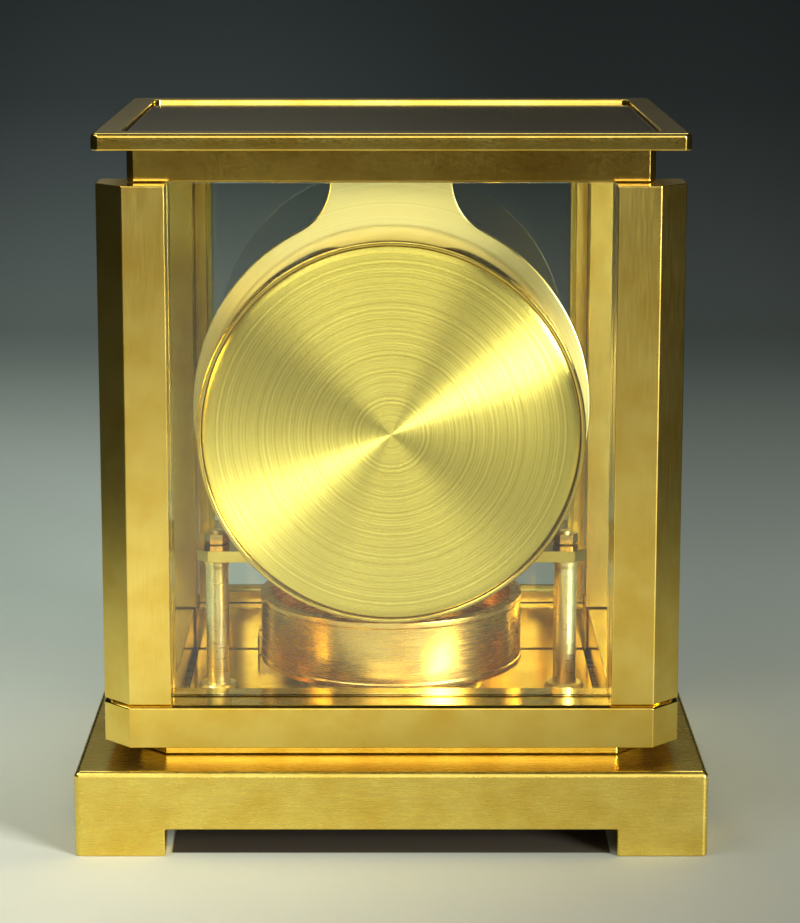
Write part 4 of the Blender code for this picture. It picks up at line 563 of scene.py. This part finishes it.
def dress_drum():
    """Turned shell, cover dished by the square of its radius, and the mounting plate behind them."""
    shell = [(6.0, -13.3), (64.8, -13.3), (64.8, DRUM_REAR_MM), (63.2, DRUM_REAR_MM), (63.2, -54.4),
             (62.0, -54.4), (62.0, -14.9), (6.0, -14.9)]
    lathe("drum_shell_turned", np.array(shell) * MM, DRUM_AXIS, "Y", SHELL_GILT, "case", ["drum_shell"],
          192, ring=True, ease=0.0006)
    radii = np.linspace(0.0, COVER_RADIUS_MM - 0.4, 33)
    face = np.c_[radii, DRUM_REAR_MM + COVER_DISH_MM * (radii / COVER_RADIUS_MM) ** 2]
    rim = DRUM_REAR_MM + COVER_DISH_MM
    inside = rim + COVER_THICKNESS_MM
    cover = np.r_[face, [[COVER_RADIUS_MM, rim + 0.3], [COVER_RADIUS_MM, inside], [0.0, inside]]]
    lathe("drum_cover_brushed", cover * MM, DRUM_AXIS, "Y", DRUM_GILT, "case", ["drum_cover"], 192, ease=0)
    blank = footed_disc(MOUNT_RADIUS, MOUNT_NECK_HALF, MOUNT_NECK_TOP, MOUNT_NECK_FILLET)
    # The plate's pale brushed gilt is painted light
    sheet_metal("mounting_plate_brushed", [blank, arc(MOUNT_BORE, centre=DRUM_AXIS)],
                MOUNT_REAR, MOUNT_FRONT, 0.0004, MOUNT_PAINTED_LIGHT_GILT, "case", ["mounting_plate"])


def dress_bellows():
    """Capsule of soldered folds: its radius is a cosine wave along the drum's axis, one turn a fold."""
    along = np.linspace(0, BELLOWS_FOLDS, BELLOWS_FOLDS * 16 + 1)
    radius = BELLOWS_RADIUS_MM - BELLOWS_FOLD_DEPTH_MM * np.cos(along * math.tau)
    depth = BELLOWS_REAR_MM + along * BELLOWS_LENGTH_MM / BELLOWS_FOLDS
    capsule = np.r_[[[0.0, depth[0]]], np.c_[radius, depth], [[0.0, depth[-1]]]]
    lathe("bellows_folds", capsule * MM, DRUM_AXIS, "Y", TRAIN_BRASS, "case", ["bellows_capsule"], 128,
          ease=0)


dress_drum()
dress_bellows()


# Balance, its staff and the pieces that hang it

BALANCE_HUB_MM = 7.0
BALANCE_ARM_REACH_MM = 42.6
BALANCE_ARM_ROOT_MM = 6.8
BALANCE_ARM_TIP_MM = 5.2
BALANCE_ARM_LOW = 0.0554
BALANCE_ARM_HIGH = 0.0584
IMPULSE_PIN_Y = 0.0045
COLUMN_X = 0.062


def dress_balance():
    """Heavy rim with eased edges and turned lines, four arms, hub and staff."""
    rim = [(42.5, 46.4), (46.5, 46.4), (46.5, 48.4), (46.2, 48.7), (46.2, 68.1), (46.5, 68.4), (46.5, 70.4),
           (42.5, 70.4)]
    body = body_of("balance_ring")
    lathe("balance_rim", np.array(rim) * MM, (0, 0), "Z", ROSE_GILT, body, ["balance_ring"], 256, ring=True,
          ease=0.0003)
    length = np.array([BALANCE_HUB_MM, BALANCE_ARM_REACH_MM])[:, None]
    half = np.array([BALANCE_ARM_ROOT_MM, BALANCE_ARM_TIP_MM])[:, None] / 2
    for pair, turn in enumerate((0, 90)):
        out = np.array(offset((0.0, 0.0), 1.0, turn))
        across = np.array(offset((0.0, 0.0), 1.0, turn + 90))
        for end, side in enumerate((-1, 1)):
            one_edge = out * side * length + across * half
            other_edge = out * side * length - across * half
            sheet_metal("balance_arm_%d" % (2 * pair + end + 1), [np.r_[one_edge, other_edge[::-1]] * MM],
                        BALANCE_ARM_LOW, BALANCE_ARM_HIGH, 0.0004, GILT, body, ["balance_ring"], axis="Z")
    hub = [(3.05, 52.4), (7.5, 52.4), (7.5, 54.2), (6.8, 54.6), (6.8, 59.2), (7.5, 59.6), (7.5, 61.4),
           (3.05, 61.4)]
    lathe("balance_hub", np.array(hub) * MM, (0, 0), "Z", GILT, body, ["balance_ring"], ring=True,
          ease=0.0003)
    staff = [(0.15, 36.0), (0.8, 36.6), (0.8, 44.0), (3.0, 45.0), (3.0, 50.3), (5.0, 50.3), (5.0, 52.1),
             (3.0, 52.1), (3.0, 73.4), (6.2, 73.4), (6.2, 75.6), (2.4, 75.6), (1.5, 76.6), (1.5, 84.0),
             (0.2, 84.0)]
    lathe("balance_staff_turned", np.array(staff) * MM, (0, 0), "Z", STEEL, body, ["balance_staff"], 48,
          ease=0.0002)
    pin = [(0.05, 75.4), (0.6, 75.4), (0.6, 78.8), (0.3, 79.1), (0.05, 79.1)]
    lathe("impulse_pin", np.array(pin) * MM, (0, IMPULSE_PIN_Y), "Z", ROSE_GILT, body, ["balance_staff"], 24,
          ease=0.0001)


def dress_suspension():
    """Torsion wire, its clips, the guard tube, the head it hangs from and the rate lever."""
    clip = [(0.0, 84.3), (1.2, 84.3), (1.2, 87.5)]
    wire = [(0.3, 87.5), (0.3, 219.3)]
    head = [(2.6, 219.3), (2.6, 222.3), (0.4, 222.3), (0.2, 222.0), (0.0, 222.0)]
    lathe("torsion_wire_drawn", np.array(clip + wire + head) * MM, (0, 0), "Z", STEEL, "case",
          ["torsion_wire"], 32, ease=0.0002)
    tube = [(1.9, 88.5), (3.0, 88.5), (3.0, 208.7), (1.9, 208.7)]
    lathe("guard_tube_drawn", np.array(tube) * MM, (0, 0), "Z", GILT, "case", ["guard_tube"], 48, ring=True,
          ease=0.0002)
    softened("suspension_head", GILT, 0.0003)
    softened("rate_lever", STEEL, 0.0002)


def dress_columns():
    """Two turned columns with flange and shoulder, and the hexagon nuts over the platform."""
    profile = [(0.0, 33.8), (7.0, 33.8), (7.0, 35.2), (6.2, 36.3), (4.25, 36.3), (4.25, 37.5), (4.05, 39.0),
               (4.05, 78.5), (4.25, 79.8), (4.25, 81.0), (5.5, 81.0), (5.5, 83.0), (2.0, 83.0), (2.0, 91.7),
               (1.7, 92.0), (0.0, 92.0)]
    for side, x in (("left", -COLUMN_X), ("right", COLUMN_X)):
        lathe("column_turned_" + side, np.array(profile) * MM, (x, 0.0), "Z", COLUMN_GILT, "case",
              ["column_" + side], 72, ease=0.0003)
        softened("column_nut_" + side, TRAIN_BRASS, 0.0003)


dress_balance()
dress_suspension()
dress_columns()


# Lock, level and levelling feet

def dress_base_fittings():
    """Arrest ring, lock lever, spirit level and the two levelling feet."""
    softened("arrest_ring", PLATE_BRASS, 0.0003)
    softened("lock_lever", STEEL, 0.0002)
    softened("level_housing", TRAIN_BRASS, 0.0003)
    softened("level_vial", LEVEL_SPIRIT, 0.0002)
    for side in ("left", "right"):
        softened("levelling_foot_" + side, TRAIN_BRASS, 0.0003)
    low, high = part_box("door_knob")
    knob = [(0.0, 0.0), (1.6, 0.0), (1.6, 3.3), (2.2, 3.6), (3.6, 4.6), (3.6, 7.4), (2.4, 8.8), (0.0, 9.0)]
    middle = ((low[0] + high[0]) / 2, (low[2] + high[2]) / 2)
    lathe("door_knob_turned", np.array(knob) * MM + (0.0, low[1]), middle, "Y", GILT, body_of("door_knob"),
          ["door_knob"], 48)


dress_base_fittings()


# Movement: plates, pillars, train, capsule drive, dial and hands

PILLAR_REACH = 0.052
PILLAR_TURNS = (10, 70, 322)


def dress_plates():
    """Grained brass plates with their pivot holes, pillars and spacers."""
    for name in ("back_plate", "front_plate"):
        softened(name, PLATE_BRASS, 0.0002)
    post = [(0.0, 11.3), (3.2, 11.3), (3.2, 13.0), (2.6, 13.8), (2.6, 30.2), (3.2, 31.0), (3.2, 32.7),
            (0.0, 32.7)]
    for index, angle in enumerate(PILLAR_TURNS):
        centre = offset(CENTRE, PILLAR_REACH, angle)
        lathe("pillar_turned_%d" % (index + 1), np.array(post) * MM, centre, "Y", TRAIN_BRASS, "case",
              ["pillar_%d" % (index + 1)], 48, ease=0.0003)
    for index in range(2):
        softened("spacer_%d" % (index + 1), TRAIN_BRASS, 0.0003)


# Arbor places, each at its gears' meshing distance from the one before
INTERMEDIATE = offset(CENTRE, 0.0225, 200)
BARREL = offset(INTERMEDIATE, 0.0270, 90)
ESCAPE = offset(CENTRE, 0.0225, 270)
MINUTE = offset(CENTRE, 0.0200, 335)
ESCAPE_TEETH = 15
# Points of an escape tooth: shares of the way to the next tooth, and their radii
ESCAPE_TOOTH_SHARES = (0.0, 0.10, 0.20, 0.32, 0.45)
ESCAPE_TOOTH_RADII_MM = (8.4, 11.0, 9.6, 8.8, 8.4)
ESCAPE_REAR = 0.0266
ESCAPE_FRONT = 0.0286
BARREL_REAR_MM = 22.1
BARREL_FRONT_MM = 30.6
# Windows of the train's wheels: radii of hub and rim, and width of the arms
CROSSING_HUB = 0.0048
CROSSING_RIM = 0.0148
CROSSING_ARM = 0.0020
# Bore of the wheels on their arbors, and the eased edge of their teeth
BORE_MM = 1.95
TOOTH_EDGE = 0.0001


def meshed(teeth, direction_deg):
    """Phase that sets a gap of a wheel towards the neighbour that it was placed from."""
    return math.radians(direction_deg) + math.pi + math.pi / teeth


def spindle(name, node, centre, steps_mm, steps=40):
    """Turned steel arbor from (radius, depth) in millimetres."""
    lathe(name, np.array(steps_mm) * MM, centre, "Y", STEEL, body_of(node), [node], steps, ease=0.0001)


def toothed_piece(name, node, teeth, module_mm, centre, phase, low_mm, high_mm, bore_mm=BORE_MM, windows=(),
                  material=TRAIN_BRASS):
    """Wheel or pinion cut from plate: teeth and module, place and phase, its two faces, bore and windows."""
    outline = toothed(teeth, module_mm * MM, centre, phase)
    loops = [outline, arc(bore_mm * MM, steps=40, centre=centre), *windows]
    sheet_metal(name, loops, low_mm * MM, high_mm * MM, TOOTH_EDGE, material, body_of(node), [node])


def dress_going_train():
    """Crossed-out wheels with leaf pinions on turned arbors."""
    arbor = [(0.0, 8.3), (1.1, 8.3), (1.1, 12.2), (2.0, 12.2), (2.0, 31.8), (1.1, 31.8), (1.1, 35.7),
             (0.0, 35.7)]
    spindle("intermediate_arbor", "intermediate_wheel", INTERMEDIATE, arbor)
    toothed_piece("intermediate_wheel_crossed", "intermediate_wheel", 36, 1.0, INTERMEDIATE, meshed(36, 200),
                  12.8, 14.8,
                  windows=crossings(INTERMEDIATE, CROSSING_HUB, CROSSING_RIM, 5, CROSSING_ARM, 12))
    toothed_piece("intermediate_pinion", "intermediate_wheel", 9, 1.2, INTERMEDIATE, math.radians(90), 21.8,
                  25.4, material=STEEL)
    post = [(0.0, 8.3), (1.1, 8.3), (1.1, 12.2), (2.0, 12.2), (2.0, 52.9), (2.5, 52.9), (2.5, 53.7),
            (1.8, 54.2), (0.0, 54.2)]
    spindle("centre_arbor", "centre_wheel", CENTRE, post)
    toothed_piece("centre_pinion", "centre_wheel", 9, 1.0, CENTRE, math.radians(200), 12.2, 15.8,
                  material=STEEL)
    toothed_piece("centre_wheel_crossed", "centre_wheel", 36, 1.0, CENTRE, math.radians(270), 17.6, 19.6,
                  windows=crossings(CENTRE, CROSSING_HUB, CROSSING_RIM, 5, CROSSING_ARM, 0))
    toothed_piece("cannon_pinion", "centre_wheel", 8, 1.25, CENTRE, math.radians(335), 37.2, 40.8,
                  material=STEEL)
    spindle("escape_arbor", "escape_wheel", ESCAPE, arbor)
    toothed_piece("escape_pinion", "escape_wheel", 9, 1.0, ESCAPE, meshed(9, 270), 17.0, 20.6,
                  material=STEEL)
    dress_escape_wheel()


def dress_escape_wheel():
    """Escape wheel: each tooth rises steeply to its tip and falls back in a straight slope."""
    tooth = math.tau / ESCAPE_TEETH
    phase = math.radians(270) - 1.5 * tooth - (1 + ESCAPE_TOOTH_SHARES[-1]) / 2 * tooth
    turn = phase + (np.arange(ESCAPE_TEETH)[:, None] + np.array(ESCAPE_TOOTH_SHARES)) * tooth
    reach = np.broadcast_to(np.array(ESCAPE_TOOTH_RADII_MM) * MM, turn.shape)
    loops = [around(ESCAPE, reach, turn), arc(BORE_MM * MM, steps=32, centre=ESCAPE),
             *crossings(ESCAPE, 0.0034, 0.0070, 4, 0.0012, 20)]
    sheet_metal("escape_wheel_crossed", loops, ESCAPE_REAR, ESCAPE_FRONT, TOOTH_EDGE, GILT,
                body_of("escape_wheel"), ["escape_wheel"])


def dress_barrel():
    """Toothed barrel with a lipped drum and lid, its mainspring, and the winding arbor with its pulley."""
    low = BARREL_REAR_MM
    high = BARREL_FRONT_MM
    toothed_piece("barrel_teeth", "barrel", 36, 1.2, BARREL, meshed(36, 90), low, low + 2.0, 18.0)
    drum = [(3.3, low), (18.9, low), (18.9, low + 2.3), (18.6, low + 2.6), (18.6, high - 1.6),
            (19.0, high - 1.3), (19.0, high), (17.4, high), (17.2, high - 0.2), (3.3, high - 0.2),
            (3.3, high - 1.2), (17.8, high - 1.2), (17.8, low + 1.2), (3.3, low + 1.2)]
    lathe("barrel_drum", np.array(drum) * MM, BARREL, "Y", TRAIN_BRASS, body_of("barrel"), ["barrel"], 128,
          ring=True, ease=0.0002)
    softened("mainspring", SPRING_STEEL, 0.0001, 1)
    arbor = [(0.0, -7.6), (8.5, -7.6), (8.5, -6.5), (7.0, -5.9), (6.9, -5.5), (7.0, -5.1), (8.5, -4.5),
             (8.5, -3.4), (3.0, -3.4), (3.0, 31.8), (1.1, 31.8), (1.1, 35.7), (0.0, 35.7)]
    spindle("winding_arbor_turned", "winding_arbor", BARREL, arbor, 72)


def dress_escapement():
    """Pallet lever with its stones, fork and arbor."""
    softened("pallet_lever", STEEL, 0.00015, 2)


def dress_motion_work():
    """Minute wheel with its pinion, and the hour wheel on its pipe."""
    toothed_piece("minute_wheel_cut", "minute_wheel", 24, 1.25, MINUTE, meshed(24, 335), 37.8, 39.8,
                  windows=crossings(MINUTE, CROSSING_HUB, 0.0116, 4, CROSSING_ARM, 10))
    toothed_piece("minute_pinion", "minute_wheel", 8, 1.0, MINUTE, math.radians(335 + 180), 39.6, 43.1,
                  material=STEEL)
    post = [(0.0, 33.3), (1.1, 33.3), (1.1, 36.3), (2.0, 36.3), (2.0, 43.2), (0.0, 43.2)]
    spindle("minute_arbor", "minute_wheel", MINUTE, post)
    toothed_piece("hour_wheel_cut", "hour_wheel", 32, 1.0, CENTRE, meshed(32, 155), 41.1, 43.1, 3.2,
                  crossings(CENTRE, 0.0060, 0.0128, 4, CROSSING_ARM, 25))
    pipe = [(2.3, 41.4), (4.6, 41.4), (4.6, 44.0), (3.3, 44.6), (3.3, 50.5), (2.3, 50.5)]
    lathe("hour_pipe", np.array(pipe) * MM, CENTRE, "Y", TRAIN_BRASS, body_of("hour_wheel"), ["hour_wheel"],
          48, ring=True, ease=0.0001)


def coil(name, radius, wire, low, high, turns, centre, material, body, replaced):
    """Round-wire coil about a Y axis: the wire's circle carried along a helix."""
    steps = turns * 48
    sides = 12
    swept = np.linspace(0, 1, steps + 1)
    turn = swept * turns * math.tau
    out = np.c_[np.cos(turn), np.zeros(steps + 1), np.sin(turn)]
    path = out * radius + np.c_[np.full(steps + 1, centre[0]), low + (high - low) * swept,
                                np.full(steps + 1, centre[1])]
    lift = (high - low) / (turns * math.tau * radius)
    tangent = np.c_[-np.sin(turn), np.full(steps + 1, lift), np.cos(turn)]
    tangent /= np.linalg.norm(tangent, axis=1)[:, None]
    side = np.cross(tangent, out)
    section = np.linspace(0, math.tau, sides, endpoint=False)
    points = (path[:, None] + wire * (np.cos(section)[None, :, None] * out[:, None]
                                      + np.sin(section)[None, :, None] * side[:, None]))
    faces = grid_faces(steps + 1, sides).tolist()
    faces += [list(range(sides)), list(range(steps * sides, (steps + 1) * sides))]
    return build(name, points, faces, material, body, replaced)


SPRING_RADIUS = 0.0095
SPRING_TURNS = 5
# Half the thickness of the spring's wire
SPRING_WIRE = 0.0007


def follow_pusher(piece):
    """Gives a spring or chain its own copy of its mesh."""
    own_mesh(piece)


def dress_capsule_drive():
    """Pusher behind the capsule, the spring that opens it and the chain up to the pulley."""
    low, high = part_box("bellows_pusher")
    plate = [(0.0, 0.0), (14.0, 0.0), (14.0, 1.1), (13.5, 1.6), (4.0, 1.6), (3.0, 2.6), (3.0, 4.8),
             (2.7, 5.1), (0.0, 5.1)]
    lathe("bellows_pusher_turned", np.array(plate) * MM + (0.0, low[1]), DRUM_AXIS, "Y", STEEL,
          body_of("bellows_pusher"), ["bellows_pusher"], ease=0.0002)
    low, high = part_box("return_spring")
    spring = coil("return_spring_wound", SPRING_RADIUS, SPRING_WIRE, low[1] + SPRING_WIRE,
                  high[1] - SPRING_WIRE, SPRING_TURNS, DRUM_AXIS, SPRING_STEEL, "case", ["return_spring"])
    follow_pusher(spring)
    chain = softened("winding_chain", STEEL, 0.00005, 1)
    low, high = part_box("winding_chain")
    follow_pusher(chain)


# Both hands: radius of the round hub, where the blade starts, tip width and length of the tail
HAND_HUB = 0.0051
HAND_START = 0.0050
HAND_TIP = 0.0010
HAND_TAIL = 0.011
# At this share of its length a hand has narrowed to this share of its width
HAND_TAPER_AT = 0.55
HAND_TAPER_TO = 0.75
# Radius of the tail's round end as a share of the hand's width
HAND_TAIL_ROUND = 0.62
# Hands: length, width at the hub, direction in degrees, bore, rear and front face
HANDS = {"hour_hand": (0.033, 0.0042, 146, 0.00365, 0.0496, 0.0505),
         "minute_hand": (0.049, 0.0032, 40, 0.00235, 0.0517, 0.0526)}


def blade(length, width, angle_deg):
    """Outline of a hand: straight taper from a round hub to the tip, and a rounded counterpoise tail."""
    along = np.array([math.cos(math.radians(angle_deg)), math.sin(math.radians(angle_deg))])
    across = np.array([-along[1], along[0]])
    reach = np.array([HAND_START, HAND_TAPER_AT * length, length - HAND_TIP, length])
    half = np.array([width / 2, width / 2 * HAND_TAPER_TO, HAND_TIP / 2, HAND_TIP * 0.12])
    hub = arc(HAND_HUB, 32, 122, 20)
    tail_round = width * HAND_TAIL_ROUND
    tail_arc = arc(tail_round, 90, 180, 14, (-HAND_TAIL + tail_round, 0.0))
    upper = np.r_[hub, tail_arc[:7]]
    lower = upper[::-1] * (1, -1)
    local = np.r_[np.c_[reach[::-1], half[::-1]], upper, lower, np.c_[reach, -half]]
    return CENTRE + local[:, :1] * along + local[:, 1:] * across


DIAL_REAR = 0.0460
DIAL_FACE = 0.0476
DIAL_OUTER = 0.058
DIAL_INNER = 0.036
DIAL_EDGE = 0.0002
DIAL_FEET_REACH = 0.050
DIAL_FEET_TURNS = (45, 165, 285)
MARKER_OUTER = 0.0545
MARKER_INNER = 0.0435
MARKER_INNER_OVER_NUMERAL = 0.0505
MARKER_HALF_WIDTH = 0.0009
MARKER_RISE = 0.0006
NUMERAL_HEIGHT = 0.0098
NUMERAL_REACH = 0.0438
NUMERAL_HALF_THICKNESS = 0.00025
NUMERAL_EDGE = 0.00008
# How far markers reach into the enamel, and the middle of a numeral's thickness over it
APPLIED_DEPTH = 0.0002
TRACK_INNER = 0.0560
TRACK_OUTER = 0.0572
TRACK_RISE = 0.00004
STROKE_HALF_WIDTH = 0.00014
BOLD_STROKE_HALF_WIDTH = 0.00030


def hour_angle(hour):
    """Direction of an hour from the arbor: the dial faces +Y, so its hours run from the top towards -X."""
    return 90 + 30 * hour


def dial_marker(hour):
    """Applied bar, shorter over a numeral."""
    turn = hour_angle(hour)
    near = offset(CENTRE, MARKER_INNER_OVER_NUMERAL if hour % 3 == 0 else MARKER_INNER, turn)
    far = offset(CENTRE, MARKER_OUTER, turn)
    side = np.array(offset((0.0, 0.0), MARKER_HALF_WIDTH, turn + 90))
    outline = np.array([near - side, far - side, far + side, near + side])
    sheet_metal("marker_%d" % (hour or 12), [outline], DIAL_FACE - APPLIED_DEPTH, DIAL_FACE + MARKER_RISE,
                DIAL_EDGE, GILT, "case", ["dial_ring"])


def dial_numeral(hour):
    """Plain number printed thickly under its marker, upright as seen from the dial's side."""
    text = bpy.data.curves.new("numeral", "FONT")
    text.body = str(hour or 12)
    text.size = NUMERAL_HEIGHT
    text.align_x = "CENTER"
    text.align_y = "CENTER"
    text.extrude = NUMERAL_HALF_THICKNESS
    text.bevel_depth = NUMERAL_EDGE
    pattern = bpy.data.objects.new("numeral_pattern", text)
    mesh = bpy.data.meshes.new_from_object(pattern)
    bpy.data.objects.remove(pattern)
    place = offset(CENTRE, NUMERAL_REACH, hour_angle(hour))
    mesh.transform(Matrix.Translation((place[0], DIAL_FACE + APPLIED_DEPTH, place[1]))
                   @ Matrix.Rotation(math.pi, 4, "Z") @ Matrix.Rotation(math.pi / 2, 4, "X"))
    dressed(mesh, "numeral_%d" % (hour or 12), TRACK_PAINT, "case", ["dial_ring"], 30)


def minute_track():
    """Sixty printed strokes, every fifth one bolder: quads at even turns about the hand arbor."""
    ticks = np.radians(np.arange(60) * 6)
    half = np.where(np.arange(60) % 5 == 0, BOLD_STROKE_HALF_WIDTH, STROKE_HALF_WIDTH) / TRACK_INNER
    corners = [(TRACK_INNER, -1), (TRACK_OUTER, -1), (TRACK_OUTER, 1), (TRACK_INNER, 1)]
    flat = np.stack([around(CENTRE, radius, ticks + side * half) for radius, side in corners], 1)
    points = np.insert(flat, 1, DIAL_FACE + TRACK_RISE, axis=2)
    build("minute_track", points, np.arange(240).reshape(-1, 4), TRACK_PAINT, "case", ["dial_ring"])


def dress_dial():
    """White dial ring on three feet, with its markers, numerals and track, and the two hands over it."""
    ring = [arc(radius, steps=192, centre=CENTRE) for radius in (DIAL_OUTER, DIAL_INNER)]
    sheet_metal("dial_ring_lacquered", ring, DIAL_REAR, DIAL_FACE, DIAL_EDGE, DIAL_ENAMEL, "case",
                ["dial_ring"])
    for hour in range(12):
        dial_marker(hour)
        if hour % 3 == 0:
            dial_numeral(hour)
    minute_track()
    foot = np.array([(0.0, 36.3), (1.2, 36.3), (1.2, 46.2), (0.0, 46.2)]) * MM
    for index, turn in enumerate(DIAL_FEET_TURNS):
        lathe("dial_foot_%d" % (index + 1), foot, offset(CENTRE, DIAL_FEET_REACH, turn), "Y", TRAIN_BRASS,
              "case", ["dial_ring"], 24, ease=0.0001)
    for node, (length, width, turn, bore, rear, front) in HANDS.items():
        sheet_metal(node + "_cut", [blade(length, width, turn), arc(bore, steps=48, centre=CENTRE)], rear,
                    front, DIAL_EDGE, GILT, body_of(node), [node])


dress_plates()
dress_going_train()
dress_barrel()
dress_escapement()
dress_motion_work()
dress_capsule_drive()
dress_dial()


# Studio: pale floor that sweeps up into a backdrop darkened by painted shade, under soft lamps, with a
# painted shadow card under the plinth

SWEEP_HALF_WIDTH = 3.0
SWEEP_NEAR = -2.5
SWEEP_WALL = 1.6
SWEEP_HEIGHT = 2.6
SWEEP_CURVE = 0.6
# The tones reach this many metres each way along the sweep
SWEEP_SPAN = 2.5
# Painted light and shade on the sweep: tones by the way along it from the clock, in metres, lightest just in
# front of the clock and darkening towards the camera and up the wall; negative is towards the camera
SWEEP_PAINTED_LIGHT_TONES = [(-2.4, "46463E"), (-1.6, "4A4A42"), (-1.0, "86867E"), (-0.62, "A2A296"), (-0.40, "D2D2C6"),
               (-0.28, "CECEC2"), (-0.18, "ACAEA2"), (0.0, "B8BEB0"), (0.09, "BAC2B6"), (0.22, "AAB5AB"),
               (0.38, "99A49C"), (0.59, "88938B"), (0.88, "66716B"), (1.18, "4E5755"), (1.37, "394141"),
               (1.52, "262E2E"), (1.66, "1C2424"), (1.88, "121718"), (1.95, "4E4E46"), (2.15, "7C7C6E")]
# Painted light and shade: the paper is lighter on the left and darker on the right, up to this far from the
# clock's middle
SIDE_REACH = 0.16
SIDE_PAINTED_LIGHT = 1.30
SIDE_PAINTED_SHADE = 0.56
# Farther out, painted shade darkens it again on both sides, between these distances, down to a small share
EDGE_START = 0.24
EDGE_END = 0.62
EDGE_PAINTED_SHADE_SHARE = 0.06
# Half sizes of the painted shadow card under the plinth, and its height over the floor
SHADOW_CARD_HALF_X = 0.073
SHADOW_CARD_HALF_Y = 0.079
SHADOW_CARD_Z = 0.0002
# name, place, aim, size, power in watts, tint
LAMPS = [
    ("softbox_key_right", (1.4, -1.4, 0.50), (0, 0, 0.13), (0.7, 0.5), 88.0, "FFFCF8"),
    ("softbox_low_front", (-0.2, -2.0, 0.45), (0, 0, 0.13), (1.0, 0.4), 4.5, "FFFBF2"),
    ("softbox_above_camera", (0.0, -1.7, 1.5), (0, 0, 0.10), (1.6, 0.9), 7.0, "FFFAF0"),
    ("floor_wash", (-0.8, -0.6, 1.3), (-0.3, -0.3, 0.0), (1.0, 0.6), 13.0, "FFFDF6"),
    ("overhead_back", (0.0, 0.9, 1.6), (0, 0.2, 0.1), (1.4, 0.5), 6.0, "F4F8FF"),
]
ROOM_COLOUR = "5A605E"
ROOM_STRENGTH = 0.15


def sweep_paper():
    """Pale paper with painted light and shade: toned along the sweep, lighter on the left of the clock and
    darker far out at the sides.
    """
    material, shader = new_material("paper_sweep_painted_light")
    place = add_node(material, "TexCoord")
    apart = add_node(material, "SeparateXYZ", {"Vector": (place, "Object")})
    deep = add_node(material, "Math", {0: (apart, "Y"), 1: (apart, "Z")}, operation="ADD")
    share = add_node(material, "MapRange", {"Value": (deep, 0), "From Min": -SWEEP_SPAN,
                                            "From Max": SWEEP_SPAN})
    # Painted light and shade, graded along the sweep
    stops = [((metres + SWEEP_SPAN) / (2 * SWEEP_SPAN), linear(hexa)) for metres, hexa in SWEEP_PAINTED_LIGHT_TONES]
    tone = add_node(material, "ValToRGB", {"Fac": (share, "Result")}, stops=stops)
    # Painted light on the left, painted shade on the right and far out at both sides
    side = add_node(material, "MapRange", {"Value": (apart, "X"), "From Min": -SIDE_REACH,
                                           "From Max": SIDE_REACH, "To Min": SIDE_PAINTED_LIGHT,
                                           "To Max": SIDE_PAINTED_SHADE}, interpolation_type="SMOOTHSTEP")
    far = add_node(material, "Math", {0: (apart, "X")}, operation="ABSOLUTE")
    edge = add_node(material, "MapRange", {"Value": (far, 0), "From Min": EDGE_START, "From Max": EDGE_END,
                                           "To Min": 1.0, "To Max": EDGE_PAINTED_SHADE_SHARE},
                    interpolation_type="SMOOTHSTEP")
    both = add_node(material, "Math", {0: (side, "Result"), 1: (edge, "Result")}, operation="MULTIPLY")
    shaded = add_node(material, "VectorMath", {0: (tone, "Color"), "Scale": (both, 0)}, operation="SCALE")
    plug(material, shader, "Base Color", (shaded, "Vector"))
    shader.inputs["Roughness"].default_value = 0.75
    shader.inputs["Specular IOR Level"].default_value = 0.2
    return material


def backdrop():
    """Floor and wall as one sheet: level, then up a quarter circle into the straight wall."""
    turn = np.linspace(0, math.pi / 2, 25)
    bend = np.c_[SWEEP_WALL - SWEEP_CURVE + SWEEP_CURVE * np.sin(turn),
                 SWEEP_CURVE - SWEEP_CURVE * np.cos(turn)]
    profile = np.r_[[[SWEEP_NEAR, 0.0]], bend, [[SWEEP_WALL, SWEEP_HEIGHT]]]
    across = np.array([[-SWEEP_HALF_WIDTH, SWEEP_HALF_WIDTH]])
    points = np.stack(np.broadcast_arrays(across, profile[:, :1], profile[:, 1:]), -1)
    mesh = bpy.data.meshes.new("sweep")
    mesh.from_pydata(points.reshape(-1, 3).tolist(), [],
                     grid_faces(len(profile), 2, wrap_columns=False).tolist())
    mesh.shade_smooth()
    mesh.materials.append(sweep_paper())
    return placed("sweep", mesh)


def card_under_plinth():
    """Painted shadow: a dark brown card just over the floor between the feet, standing for the shade in the
    gap under the plinth.
    """
    material, shader = new_material("painted_shadow_black_card")
    shader.inputs["Base Color"].default_value = linear("2E2614")
    shader.inputs["Roughness"].default_value = 0.9
    corners = [(-SHADOW_CARD_HALF_X, -SHADOW_CARD_HALF_Y), (SHADOW_CARD_HALF_X, -SHADOW_CARD_HALF_Y), (SHADOW_CARD_HALF_X, SHADOW_CARD_HALF_Y),
               (-SHADOW_CARD_HALF_X, SHADOW_CARD_HALF_Y)]
    mesh = bpy.data.meshes.new("shadow_card")
    mesh.from_pydata([(x, y, SHADOW_CARD_Z) for x, y in corners], [], [(0, 1, 2, 3)])
    mesh.materials.append(material)
    return placed("shadow_card", mesh)


def area_lamp(name, place, aim, size, power, tint):
    """Large soft lamp, turned so that its own axis runs from its place to its aim."""
    data = bpy.data.lights.new(name, "AREA")
    data.shape = "RECTANGLE"
    data.size = size[0]
    data.size_y = size[1]
    data.energy = power
    data.color = linear(tint)[:3]
    lamp = placed(name, data)
    lamp.location = place
    lamp.rotation_euler = (Vector(aim) - Vector(place)).to_track_quat("-Z", "Y").to_euler()
    return lamp


sweep = backdrop()
shadow_card = card_under_plinth()
lamps = [area_lamp(*row) for row in LAMPS]

world = bpy.data.worlds.new("room")
scene.world = world
world.use_nodes = True
background = world.node_tree.nodes["Background"]
background.inputs["Color"].default_value = linear(ROOM_COLOUR)
background.inputs["Strength"].default_value = ROOM_STRENGTH
